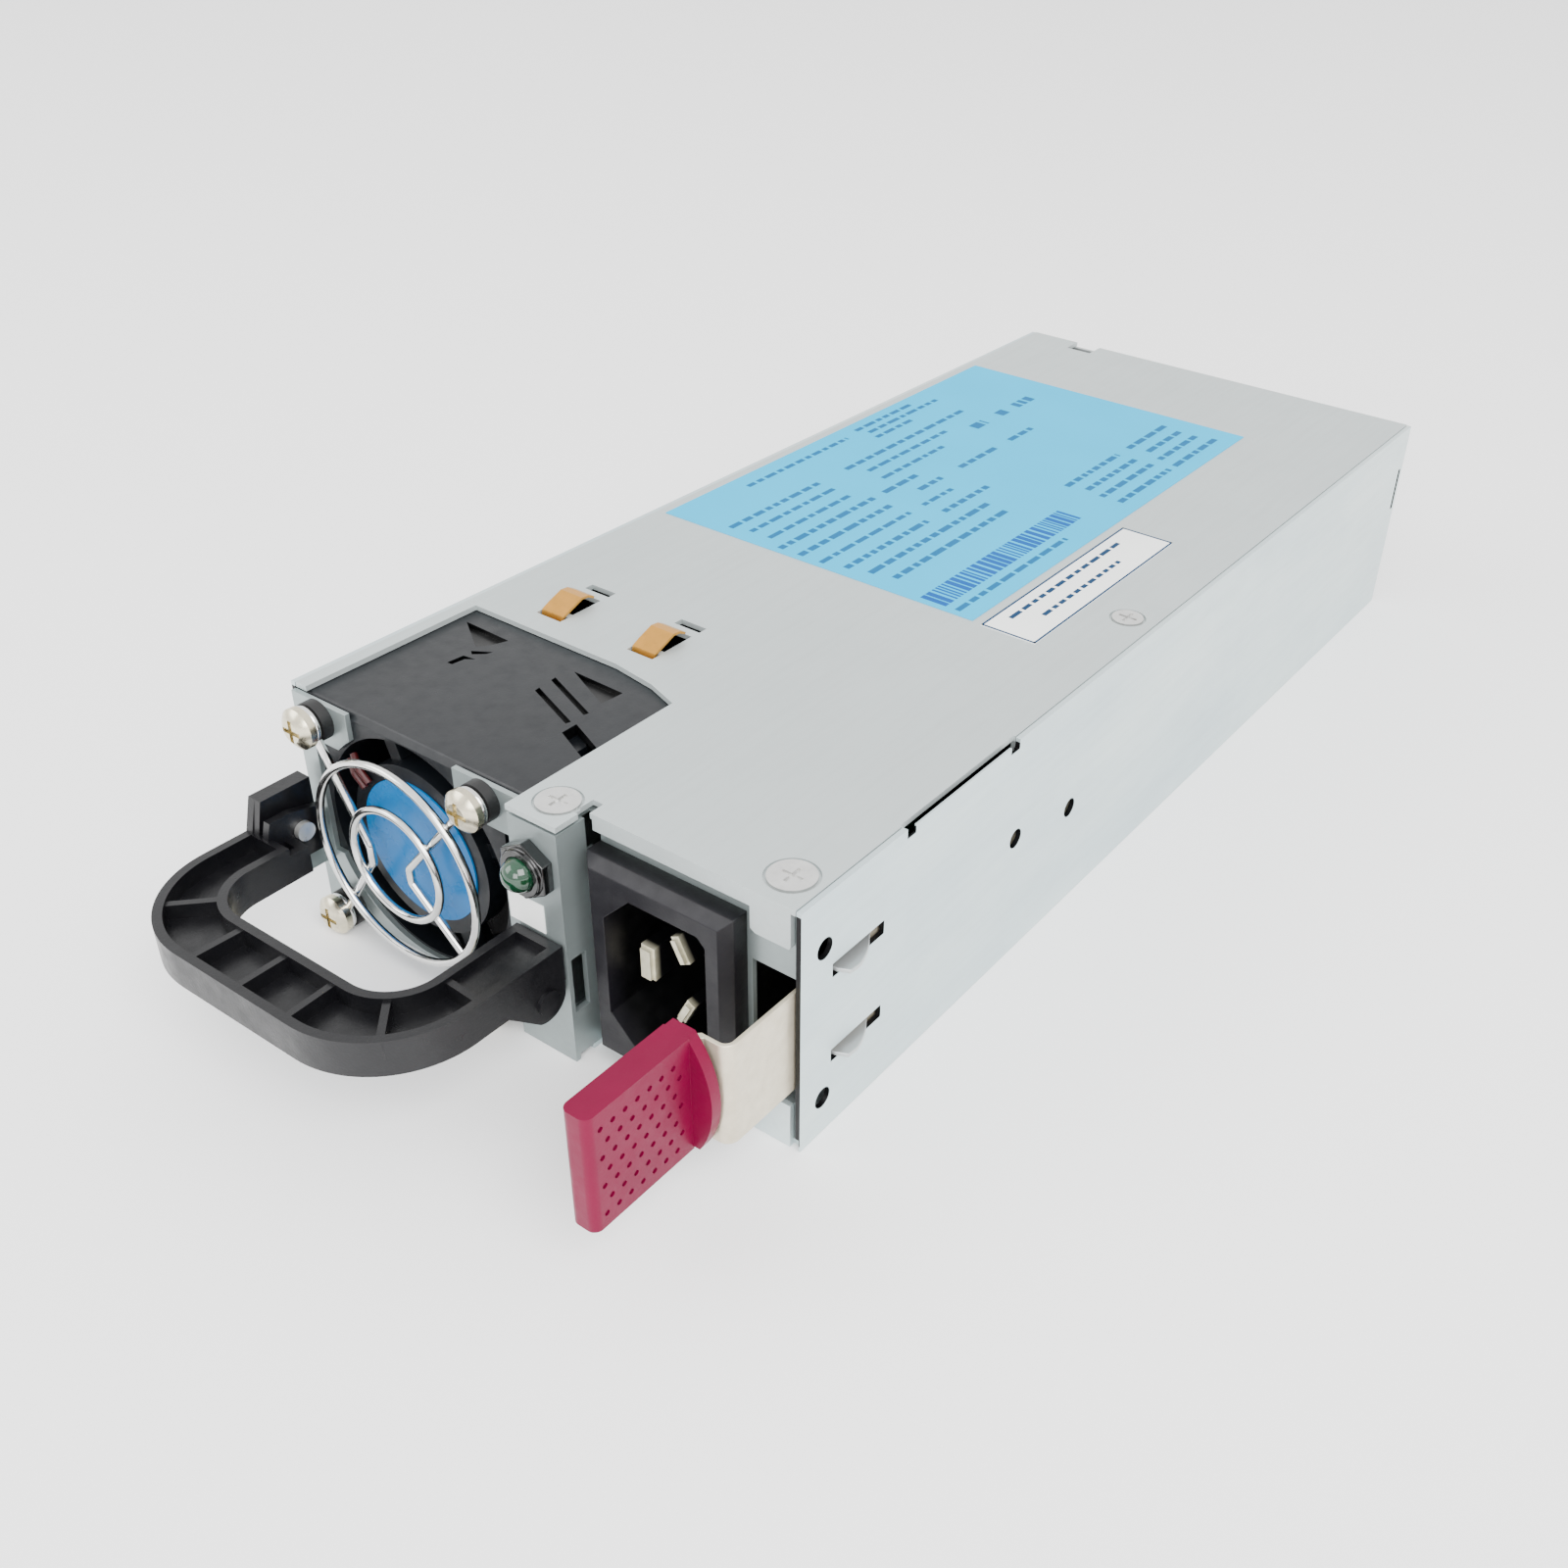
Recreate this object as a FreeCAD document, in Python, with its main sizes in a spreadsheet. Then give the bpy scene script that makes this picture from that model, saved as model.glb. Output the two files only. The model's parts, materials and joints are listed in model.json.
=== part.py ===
import FreeCAD, Part
import math
import os
import Sketcher
from FreeCAD import Vector, Placement, Rotation

# Hot swap server power supply.  Millimetres, +Z up, length along Y with the
# fan and inlet end at -Y, origin at the centre of the case's bottom face.

doc = FreeCAD.newDocument("hot_swap_supply")
sheet = doc.addObject("Spreadsheet::Sheet", "Dims")

CELLS = [
    ("case_width", 86.4), ("case_height", 38.0), ("case_depth", 195.5), ("gauge", 0.8),
    ("seam", 0.1), ("side_drop", 5.0),
    ("fan_x", -21.25), ("fan_z", 18.85), ("fan_bore", 17.0), ("fan_half", 17.95), ("fan_front", 1.6),
    ("fan_length", 28.0), ("screw_pitch", 31.5), ("deck_top", 37.1), ("deck_gauge", 1.2),
    ("rotor_tip", 16.5), ("rotor_hub", 11.2), ("shaft_radius", 1.5), ("bearing_play", 0.05),
    ("hub_disc", 13.0), ("guard_wire", 0.55), ("guard_ring", 15.2), ("guard_inner", 8.4),
    ("screw_head", 3.4), ("isolator", 4.6),
    ("column_left", -0.2), ("column_right", 9.6), ("column_proud", 4.9), ("column_top", 36.4),
    ("lamp_x", 5.0), ("lamp_z", 30.3), ("lamp_nut", 4.2), ("lamp_lens", 2.35),
    ("inlet_x", 22.9), ("inlet_z", 17.9), ("bezel_width", 23.2), ("bezel_height", 31.8),
    ("bezel_proud", 3.0), ("socket_width", 16.4), ("socket_height", 24.2), ("socket_depth", 17.0),
    ("strip_gauge", 0.6), ("strip_low", 10.0), ("strip_high", 25.5), ("strip_reach", 12.0),
    ("strip_face", 42.1), ("strip_pivot", 44.4), ("tooth_reach", 44.7),
    ("tab_left", 34.4), ("tab_right", 38.3), ("tab_front", 30.6), ("tab_low", 9.4), ("tab_high", 26.8),
    ("handle_left", -42.3), ("handle_right", 9.3), ("handle_reach", 35.2), ("handle_top", 19.8),
    ("handle_gauge", 5.4), ("arm_width", 8.0), ("arm_wall", 1.3), ("pivot_y", 8.6), ("pivot_z", 13.0),
    ("pin_radius", 1.3), ("pin_play", 0.06),
    ("board_low", 4.0), ("board_gauge", 1.6), ("board_start", 31.0), ("board_left", -41.0), ("board_right", 40.4),
    ("tongue_left", -34.0), ("tongue_right", 16.0), ("tongue_reach", 8.6),
    ("label_film", 0.12), ("vent_radius", 1.7), ("vent_pitch", 4.6),
]
NUM = {}
for row, (alias, value) in enumerate(CELLS, start=1):
    sheet.set("A%d" % row, alias.replace("_", " "))
    sheet.set("B%d" % row, "%.6g" % value)
    sheet.setAlias("B%d" % row, alias)
    NUM[alias] = float(value)
doc.recompute()


class Dim:
    """A length that knows both its number and its formula over the sheet."""

    def __init__(self, v, e):
        self.v = float(v)
        self.e = e

    def __add__(self, o):
        return Dim(self.v + val(o), "(%s + %s)" % (self.e, txt(o)))

    def __radd__(self, o):
        return Dim(val(o) + self.v, "(%s + %s)" % (txt(o), self.e))

    def __sub__(self, o):
        return Dim(self.v - val(o), "(%s - %s)" % (self.e, txt(o)))

    def __rsub__(self, o):
        return Dim(val(o) - self.v, "(%s - %s)" % (txt(o), self.e))

    def __mul__(self, o):
        return Dim(self.v * val(o), "(%s * %s)" % (self.e, txt(o)))

    def __rmul__(self, o):
        return Dim(val(o) * self.v, "(%s * %s)" % (txt(o), self.e))

    def __truediv__(self, o):
        return Dim(self.v / val(o), "(%s / %s)" % (self.e, txt(o)))

    def __neg__(self):
        return Dim(-self.v, "(0 - %s)" % self.e)


def val(x):
    return x.v if isinstance(x, Dim) else float(x)


def txt(x):
    if isinstance(x, Dim):
        return x.e
    return "%.6g" % x if x >= 0 else "(0 - %.6g)" % abs(x)


def d(alias):
    return Dim(NUM[alias], "Dims." + alias)


def yf(v):
    """Distance behind the front edge of the case."""
    return v - d("case_depth") / 2


def bind(o, prop, x):
    if isinstance(x, Dim):
        o.setExpression(prop, x.e)


# ---------------------------------------------------------------- primitives
def place(o, x, y, z, rot=None):
    o.Placement = Placement(Vector(val(x), val(y), val(z)), rot or Rotation())
    for axis, c in zip("xyz", (x, y, z)):
        bind(o, "Placement.Base." + axis, c)


def box(name, x0, x1, y0, y1, z0, z1):
    o = doc.addObject("Part::Box", name)
    for prop, a, b in (("Length", x0, x1), ("Width", y0, y1), ("Height", z0, z1)):
        size = b - a
        setattr(o, prop, val(size))
        bind(o, prop, size)
    place(o, x0, y0, z0)
    return o


TURN = {"z": Rotation(), "x": Rotation(Vector(0, 1, 0), 90), "y": Rotation(Vector(1, 0, 0), -90),
        "-y": Rotation(Vector(1, 0, 0), 90), "-x": Rotation(Vector(0, 1, 0), -90),
        "-z": Rotation(Vector(1, 0, 0), 180)}


def cyl(name, x, y, z, r, h, axis="z"):
    o = doc.addObject("Part::Cylinder", name)
    o.Radius = val(r)
    o.Height = val(h)
    bind(o, "Radius", r)
    bind(o, "Height", h)
    place(o, x, y, z, TURN[axis])
    return o


def cone(name, x, y, z, r1, r2, h, axis="z"):
    o = doc.addObject("Part::Cone", name)
    o.Radius1 = val(r1)
    o.Radius2 = val(r2)
    o.Height = val(h)
    for prop, c in (("Radius1", r1), ("Radius2", r2), ("Height", h)):
        bind(o, prop, c)
    place(o, x, y, z, TURN[axis])
    return o


def torus(name, x, y, z, r1, r2, axis="z"):
    o = doc.addObject("Part::Torus", name)
    o.Radius1 = val(r1)
    o.Radius2 = val(r2)
    bind(o, "Radius1", r1)
    bind(o, "Radius2", r2)
    place(o, x, y, z, TURN[axis])
    return o


def sphere(name, x, y, z, r):
    o = doc.addObject("Part::Sphere", name)
    o.Radius = val(r)
    bind(o, "Radius", r)
    place(o, x, y, z)
    return o


def fuse(name, *shapes):
    o = doc.addObject("Part::MultiFuse", name)
    o.Shapes = list(shapes)
    return o


def cut(name, base, *tools):
    o = doc.addObject("Part::Cut", name)
    o.Base = base
    o.Tool = tools[0] if len(tools) == 1 else fuse(name + "_tools", *tools)
    return o


def common(name, a, b):
    o = doc.addObject("Part::Common", name)
    o.Base = a
    o.Tool = b
    return o


def group(name, *shapes):
    o = doc.addObject("Part::Compound", name)
    o.Links = list(shapes)
    return o


def prism(name, points, axis, lo, length):
    """A closed outline (in the plane square to axis) given a length, as an extrusion."""
    wire = doc.addObject("Part::Polygon", name + "_outline")
    lo_v = val(lo)
    at = {"x": lambda a, b: Vector(lo_v, a, b), "y": lambda a, b: Vector(a, lo_v, b), "z": lambda a, b: Vector(a, b, lo_v)}[axis]
    wire.Nodes = [at(val(a), val(b)) for a, b in points]
    wire.Close = True
    o = doc.addObject("Part::Extrusion", name)
    o.Base = wire
    o.DirMode = "Custom"
    o.Dir = {"x": Vector(1, 0, 0), "y": Vector(0, 1, 0), "z": Vector(0, 0, 1)}[axis]
    o.LengthFwd = val(length)
    bind(o, "LengthFwd", length)
    o.Solid = True
    return o


def tube(points, r, bend):
    """Round wire along straight runs joined by tangent arcs."""
    pts = [Vector(*(val(c) for c in p)) for p in points]
    edges = []
    start = pts[0]
    for i in range(1, len(pts) - 1):
        a, b, c = pts[i - 1], pts[i], pts[i + 1]
        u = (a - b).normalize()
        w = (c - b).normalize()
        half = u.getAngle(w) / 2.0
        t = bend / math.tan(half)
        p1 = b + u * t
        p2 = b + w * t
        m = (u + w).normalize()
        centre = b + m * (bend / math.sin(half))
        mid = centre + (b - centre).normalize() * bend
        edges.append(Part.LineSegment(start, p1).toShape())
        edges.append(Part.Arc(p1, mid, p2).toShape())
        start = p2
    edges.append(Part.LineSegment(start, pts[-1]).toShape())
    wire = Part.Wire(edges)
    n = (pts[1] - pts[0]).normalize()
    ring = Part.Wire([Part.Circle(pts[0], n, r).toShape()])
    return wire.makePipeShell([ring], True, False, 2)


def shaped(name, shape):
    o = doc.addObject("Part::Feature", name)
    o.Shape = shape
    o.Placement = Placement()
    return o


# ------------------------------------------------------------- sketched bodies
def new_body(name):
    return doc.addObject("PartDesign::Body", name)


def new_sketch(body, name, role, lift=0.0):
    sk = body.newObject("Sketcher::SketchObject", name)
    plane = [f for f in body.Origin.OriginFeatures if f.Role == role][0]
    sk.AttachmentSupport = [(plane, "")]
    sk.MapMode = "FlatFace"
    sk.AttachmentOffset = Placement(Vector(0, 0, val(lift)), Rotation())
    bind(sk, "AttachmentOffset.Base.z", lift)
    return sk


def pin_point(sk, geo, pos, x, y):
    for kind, c in (("DistanceX", x), ("DistanceY", y)):
        if abs(val(c)) < 1e-9:
            # a point on an axis of the sketch
            sk.addConstraint(Sketcher.Constraint("PointOnObject", geo, pos, -2 if kind == "DistanceX" else -1))
            continue
        k = sk.addConstraint(Sketcher.Constraint(kind, -1, 1, geo, pos, val(c)))
        bind(sk, "Constraints[%d]" % k, c)


def outline(sk, points):
    n = len(points)
    first = sk.GeometryCount
    for i in range(n):
        a, b = points[i], points[(i + 1) % n]
        sk.addGeometry(Part.LineSegment(Vector(val(a[0]), val(a[1]), 0), Vector(val(b[0]), val(b[1]), 0)), False)
    for i in range(n):
        sk.addConstraint(Sketcher.Constraint("Coincident", first + i, 2, first + (i + 1) % n, 1))
    for i in range(n):
        pin_point(sk, first + i, 1, points[i][0], points[i][1])


def rect(sk, x0, x1, y0, y1):
    outline(sk, [(x0, y0), (x1, y0), (x1, y1), (x0, y1)])


def circle(sk, x, y, r):
    g = sk.addGeometry(Part.Circle(Vector(val(x), val(y), 0), Vector(0, 0, 1), val(r)), False)
    k = sk.addConstraint(Sketcher.Constraint("Radius", g, val(r)))
    bind(sk, "Constraints[%d]" % k, r)
    pin_point(sk, g, 3, x, y)


def path(sk, items):
    """Lines and arcs in a closed chain: ("l", x, y) ends a line, ("a", mx, my, x, y) ends an arc."""
    first = sk.GeometryCount
    here = Vector(items[-1][-2], items[-1][-1], 0)
    for it in items:
        end = Vector(it[-2], it[-1], 0)
        if it[0] == "l":
            sk.addGeometry(Part.LineSegment(here, end), False)
        else:
            sk.addGeometry(Part.Arc(here, Vector(it[1], it[2], 0), end), False)
        here = end


def solid_step(body, kind, sk, length, back=False, both=False):
    f = body.newObject("PartDesign::" + kind, kind + "_" + sk.Name)
    f.Profile = sk
    f.Length = val(length)
    bind(f, "Length", length)
    if both:
        f.Midplane = True
    f.Reversed = back
    sk.Visibility = False
    return f


def pad(body, sk, length, back=False, both=False):
    return solid_step(body, "Pad", sk, length, back, both)


def pocket(body, sk, length, back=False, both=False):
    return solid_step(body, "Pocket", sk, length, back, both)


NODES = {}


def node(label, o):
    o.Label = label
    NODES[label] = o
    return o


W2 = d("case_width") / 2
TOP = d("case_height")
DEEP = d("case_depth")
G = d("gauge")
FX, FZ = d("fan_x"), d("fan_z")
HP = d("screw_pitch") / 2
REAR = DEEP / 2
FRONT = yf(0)

# ================================================================ sheet metal
# Tray: floor and two side walls, drawn as one U and given its depth.
b = new_body("lower_case")
sk = new_sketch(b, "TrayProfile", "XZ_Plane", d("case_depth") / 2 + d("fan_front"))
WT = TOP - 0.1
outline(sk, [(-W2, 0), (W2, 0), (W2, WT), (W2 - G, WT), (W2 - G, G), (-W2 + G, G), (-W2 + G, WT), (-W2, WT)])
pad(b, sk, DEEP + d("fan_front"), back=True)
# the inlet end stands back from the fan end
sk = new_sketch(b, "InletStep", "XY_Plane", -1.0)
rect(sk, d("column_right"), W2 + 1, yf(-3), yf(0))
pocket(b, sk, TOP + 2, back=True)
# side wall: round holes, two catch slots, rear slot and the notched top edge
sk = new_sketch(b, "WallHoles", "YZ_Plane", W2 - 2)
for hy, hz in ((4.6, 30.0), (4.6, 5.9), (48.9, 21.0), (64.6, 17.8)):
    circle(sk, yf(hy), hz, 1.5)
rect(sk, yf(6.2), yf(16.9), 24.5, 26.6)
rect(sk, yf(6.2), yf(16.9), 10.8, 12.8)
rect(sk, yf(193.6), yf(194.7), 21.0, 29.4)
rect(sk, yf(21.2), yf(23.1), TOP - 1.6, TOP + 1)
rect(sk, yf(45.5), yf(47.7), TOP - 1.6, TOP + 1)
rect(sk, yf(23.1), yf(45.5), TOP - 0.45, TOP + 1)
pocket(b, sk, 4, back=True)
sk = new_sketch(b, "WallGap", "XY_Plane", TOP - 2.0)
rect(sk, W2 - G - 0.1, W2 - 0.35, yf(21.4), yf(47.5))
pocket(b, sk, 4, back=True)
# front lower flange under the inlet, taller beside it, with a relief notch at the corner
sk = new_sketch(b, "FrontFlange", "XZ_Plane", d("case_depth") / 2)
outline(sk, [(d("column_right") + 0.3, G - 0.3), (41.6, G - 0.3), (41.6, 7.0), (35.2, 7.0), (35.2, 1.6), (d("column_right") + 0.3, 1.6)])
pad(b, sk, G, back=True)
sk = new_sketch(b, "CornerNotch", "XZ_Plane", d("case_depth") / 2 + 1)
rect(sk, 41.6, W2 - 0.25, -0.5, 1.9)
pocket(b, sk, 1.9)
b.Tip = b.Group[-1]
node("lower_case", b)

# Top cover: plate between the walls, side drops, front lip, screw tab.
b = new_body("top_cover")
sk = new_sketch(b, "CoverPlate", "XY_Plane", TOP - G)
CE = W2 - G - d("seam")
outline(sk, [(-CE, yf(-1.5)), (-CE + 2.1, yf(-1.5)), (-CE + 2.1, yf(29.2)), (-12.0, yf(29.1)), (-4.4, yf(27.9)), (1.2, yf(25.9)), (1.2, yf(-4.9)),
             (d("column_right") + 0.1, yf(-4.9)), (d("column_right") + 0.1, yf(0)), (CE, yf(0)), (CE, REAR),
             (-26.4, REAR), (-26.4, REAR - 4.6), (-31.9, REAR - 4.6), (-31.9, REAR), (-CE, REAR)])
pad(b, sk, G)
sk = new_sketch(b, "SideDrops", "XY_Plane", TOP - G)
rect(sk, CE - G, CE, yf(2.5), yf(20.8))
rect(sk, CE - G, CE, yf(48.1), REAR - 3)
rect(sk, -CE, -CE + G, yf(31), REAR - 3)
pad(b, sk, d("side_drop"), back=True)
sk = new_sketch(b, "FrontLip", "XZ_Plane", d("case_depth") / 2)
outline(sk, [(11.0, TOP - 2.4), (35.6, TOP - 2.4), (35.6, 32.4), (36.4, 31.9), (41.4, 31.9), (41.6, 32.4), (41.6, TOP - 0.2), (11.0, TOP - 0.2)])
pad(b, sk, G, back=True)
sk = new_sketch(b, "CoverOpenings", "XY_Plane", TOP - G - 1)
for sx in (-29.3, -11.4):
    rect(sk, sx - 2.4, sx + 2.4, yf(33.2), yf(34.9))
    rect(sk, sx - 1.9, sx + 2.3, yf(35.9), yf(41.8))
    rect(sk, sx - 2.4, sx + 2.4, yf(43.4), yf(45.0))
rect(sk, CE - 0.3, CE + 1, yf(21.2), yf(47.7))
rect(sk, d("column_right") - 0.6, 10.7, yf(-1), yf(2.4))
circle(sk, 5.8, yf(-0.4), 1.5)
circle(sk, 37.9, yf(5.1), 1.5)
circle(sk, 37.9, yf(87.6), 1.3)
pocket(b, sk, 4, back=True)
sk = new_sketch(b, "ScrewDimples", "XY_Plane", TOP)
circle(sk, 37.9, yf(5.1), 3.5)
circle(sk, 37.9, yf(87.6), 2.8)
pocket(b, sk, 0.35)
sk = new_sketch(b, "TabDimple", "XY_Plane", TOP)
circle(sk, 5.8, yf(-0.4), 3.25)
pocket(b, sk, 0.35)
b.Tip = b.Group[-1]
node("top_cover", b)

# Front sheet: indicator column, its two returns, and the plate round the inlet.
CL, CR, CP = d("column_left"), d("column_right"), d("column_proud")
CT = d("column_top")
column = fuse("column",
              box("column_face", CL, CR, yf(-CP), yf(G - CP), 0, 31.0),
              box("column_face_top", 1.3, CR, yf(-CP), yf(G - CP), 31.0 - 0.1, CT),
              box("column_return", CR - G, CR, yf(G - CP - 0.05), yf(1.7), G + 0.1, CT),
              box("column_left_wall", 1.3, 1.3 + G, yf(G - CP - 0.05), yf(26.0), G + 0.1, CT),
              box("column_cap", 1.3, CR, yf(-CP), yf(4.0), CT - 0.1, TOP - G - 0.45))
plate = box("inlet_plate", CR - 0.05, W2 - G - 0.2, yf(0.9), yf(1.7), G + 0.1, CT + 0.7)
ear = fuse("right_ear", box("right_ear_web", 4.7, 5.7, yf(-d("pivot_y")), yf(G - CP - 0.05), d("pivot_z") - 2.9, d("pivot_z") + 2.9),
           cyl("right_ear_round", 4.7, yf(-d("pivot_y")), d("pivot_z"), 2.9, 1.0, "x"))
front = fuse("front_sheet", column, plate, ear)
front_panel = cut("front_panel", front,
                  box("inlet_window", d("inlet_x") - 9.9, d("inlet_x") + 9.9, yf(0.5), yf(2), d("inlet_z") - 13.7, d("inlet_z") + 13.7),
                  box("latch_window", 35.2, W2, yf(0.5), yf(2), 7.0, 27.0),
                  box("return_slot", CR - 2, CR + 1, yf(-4.2), yf(-1.6), 8.2, 17.0),
                  box("corner_relief", CR + 0.05, 11.4, yf(0.5), yf(2), 27.0, 40.0),
                  box("return_relief", CR - 1.0, 11.4, yf(0.1), yf(2), 31.6, 40.0),
                  cyl("lamp_hole", d("lamp_x"), yf(-CP - 1), d("lamp_z"), 2.9, 3, "y"),
                  cyl("right_ear_hole", 4.0, yf(-d("pivot_y")), d("pivot_z"), d("pin_radius") + d("pin_play"), 3, "x"),
                  cyl("tab_screw_hole", 5.8, yf(-0.4), CT - 3, 1.25, 8, "z"))
node("front_panel", front_panel)

# Fan bay sheet: round opening, open at the top between two corner tabs.
fy = yf(-d("fan_front") - G)
plate = fuse("fan_sheet", box("fan_sheet_plate", -W2 + 0.9, 1.0, fy, fy + G, 0.9, TOP - 0.9),
             box("left_ear_web", -40.7, -39.9, yf(-d("pivot_y")), fy + 0.05, d("pivot_z") - 2.9, d("pivot_z") + 5.2),
             cyl("left_ear_round", -40.7, yf(-d("pivot_y")), d("pivot_z"), 2.9, 0.8, "x"))
fan_plate = cut("fan_plate", plate,
                cyl("fan_sheet_bore", FX, fy - 0.5, FZ, 17.4, 2, "y"),
                box("fan_sheet_window", -39.0, -1.6, fy - 0.5, fy + 1.5, 12.0, 30.6),
                box("fan_sheet_gap", FX - 10.2, FX + 10.2, fy - 0.5, fy + 1.5, FZ, TOP + 1),
                cyl("left_ear_hole", -42, yf(-d("pivot_y")), d("pivot_z"), d("pin_radius") + d("pin_play"), 4, "x"),
                *[cyl("fan_sheet_hole", FX + sx * HP, fy - 0.5, FZ + sz * HP, 1.9, 2, "y") for sx in (-1, 1) for sz in (-1, 1)])
node("fan_plate", fan_plate)

# Rear panel: vents over the board and the opening for the card edge.
b = new_body("rear_panel")
sk = new_sketch(b, "RearSheet", "XZ_Plane", -(REAR - G - 0.1))
rect(sk, -CE + 0.0, CE, G + 0.1, TOP - G - 0.1)
pad(b, sk, G, back=True)
sk = new_sketch(b, "RearVents", "XZ_Plane", -(REAR - G - 1.1))
P = NUM["vent_pitch"]
for r in range(5):
    for c in range(17 if r % 2 == 0 else 16):
        circle(sk, -36.8 + c * P + (P / 2 if r % 2 else 0), 13.4 + r * P * 0.866, d("vent_radius"))
rect(sk, d("tongue_left") - 1.2, d("tongue_right") + 1.2, 2.6, 8.2)
pocket(b, sk, 4)
b.Tip = b.Group[-1]
node("rear_panel", b)

# Cover fasteners: flat heads seated in the cover's dimples.
heads = []
for i, (sx, sy, r) in enumerate(((37.9, 5.1, 3.1), (5.8, -0.4, 2.9), (37.9, 87.6, 2.4))):
    head = cyl("flat_head_%d" % i, sx, yf(sy), TOP - 0.35, r, 0.45)
    shank = cyl("flat_shank_%d" % i, sx, yf(sy), TOP - (1.9 if i == 1 else 3.4), 1.2, 3.2 if i != 1 else 1.7)
    socket = [box("flat_cross_%d%s" % (i, k), sx - (1.5 if k == "a" else 0.25), sx + (1.5 if k == "a" else 0.25),
                  yf(sy - (0.25 if k == "a" else 1.5)), yf(sy + (0.25 if k == "a" else 1.5)), TOP - 0.25, TOP + 1) for k in "ab"]
    heads.append(cut("cover_screw_%d" % i, fuse("cover_screw_blank_%d" % i, head, shank), *socket))
node("cover_screws", group("cover_screws", *heads))

# Copper grounding springs: a bowed strip that rises through a slit and hovers over a window.
springs = []
for i, sx in enumerate((-29.3, -11.4)):
    prof = [(31.4, 37.15), (33.9, 37.15), (34.15, 38.3), (35.6, 38.95), (38.2, 39.9), (39.6, 39.75), (40.8, 39.1)]
    under = [(40.6, 38.85), (39.5, 39.42), (38.3, 39.55), (35.8, 38.6), (34.45, 38.05), (34.2, 36.85), (31.4, 36.85)]
    springs.append(prism("grounding_spring_%d" % i, [(a - NUM["case_depth"] / 2, z) for a, z in prof + under], "x", sx - 2.15, 4.3))
node("grounding_springs", group("grounding_springs", *springs))

# Labels: thin films.
node("rating_label", box("rating_label", -40.6, 20.1, yf(71.8), yf(167.8), TOP, TOP + d("label_film")))
node("serial_label", box("serial_label", 21.8, 31.2, yf(71.4), yf(116.0), TOP, TOP + d("label_film")))
node("status_label", box("status_label", 0.1, 6.3, yf(-CP) - d("label_film"), yf(-CP), 20.2, 24.6))

# ======================================================================== fan
# Housing: square body, round bore, top deck with moulded arrows, hub spider.
b = new_body("fan_frame")
fyc = -yf(-d("fan_front"))
sk = new_sketch(b, "FanSquare", "XZ_Plane", fyc)
fh = d("fan_half")
c = 3.0
outline(sk, [(FX - fh + c, FZ - fh), (FX + fh - c, FZ - fh), (FX + fh, FZ - fh + c), (FX + fh, FZ + fh), (FX - fh, FZ + fh), (FX - fh, FZ - fh + c)])
circle(sk, FX, FZ, d("fan_bore"))
pad(b, sk, d("fan_length"), back=True)
sk = new_sketch(b, "TopDeck", "XY_Plane", d("deck_top") - d("deck_gauge"))
outline(sk, [(-41.2, yf(-1.6)), (1.0, yf(-1.6)), (1.0, yf(30.8)), (-41.2, yf(30.8))])
pad(b, sk, d("deck_gauge"))
sk = new_sketch(b, "DeckArrows", "XY_Plane", d("deck_top"))
outline(sk, [(-38.7, yf(25.9)), (-32.2, yf(21.5)), (-31.0, yf(22.6)), (-29.8, yf(25.6))])
outline(sk, [(-31.7, yf(20.2)), (-29.0, yf(21.9)), (-29.4, yf(20.9)), (-30.9, yf(19.6))])
outline(sk, [(-31.8, yf(15.8)), (-31.5, yf(18.6)), (-29.4, yf(18.9)), (-30.6, yf(18.0)), (-30.9, yf(15.9))])
outline(sk, [(-16.2, yf(25.0)), (-7.2, yf(20.9)), (-6.9, yf(24.8))])
outline(sk, [(-17.1, yf(22.2)), (-17.0, yf(21.3)), (-7.0, yf(17.3)), (-6.8, yf(18.1))])
outline(sk, [(-16.8, yf(18.8)), (-16.7, yf(17.9)), (-7.3, yf(14.2)), (-7.1, yf(15.0))])
pocket(b, sk, 0.8)
sk = new_sketch(b, "DeckNotch", "XY_Plane", d("deck_top"))
outline(sk, [(-6.1, yf(15.0)), (-6.1, yf(12.3)), (0.4, yf(9.4)), (0.4, yf(12.2))])
pocket(b, sk, d("deck_gauge") + 0.6)
sk = new_sketch(b, "DeckEdge", "YZ_Plane", -45)
outline(sk, [(yf(-2.6), d("deck_top") + 0.6), (yf(-0.1), d("deck_top") + 0.6), (yf(-1.0), d("deck_top") - 0.2), (yf(-1.7), d("deck_top") - 1.2), (yf(-2.6), d("deck_top") - 1.2)])
pocket(b, sk, 50, back=True)
sk = new_sketch(b, "FanScrewHoles", "XZ_Plane", fyc)
for sx in (-1, 1):
    for sz in (-1, 1):
        circle(sk, FX + sx * HP, FZ + sz * HP, 1.45)
pocket(b, sk, 9.0)
# hub disc seat and four struts just inside the mouth
sk = new_sketch(b, "SpiderHub", "XZ_Plane", fyc - 0.5)
circle(sk, FX, FZ, d("hub_disc"))
circle(sk, FX, FZ, 2.6)
pad(b, sk, 3.5, back=True)
sk = new_sketch(b, "SpiderStruts", "XZ_Plane", fyc - 2.0)
for k in range(4):
    ang = math.radians(20 + 90 * k)
    u = (math.cos(ang), math.sin(ang))
    n = (-u[1], u[0])
    pts = []
    for rr, ww in ((11.5, -1.1), (17.4, -1.1), (17.4, 1.1), (11.5, 1.1)):
        pts.append((NUM["fan_x"] + u[0] * rr + n[0] * ww, NUM["fan_z"] + u[1] * rr + n[1] * ww))
    outline(sk, pts)
pad(b, sk, 2.0, back=True)
b.Tip = b.Group[-1]
node("fan_frame", b)

# blue disc on the hub seat
node("fan_hub_disc", cyl("fan_hub_disc", FX, -fyc + 0.25, FZ, d("hub_disc") - 2.2, 0.25, "y"))

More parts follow.
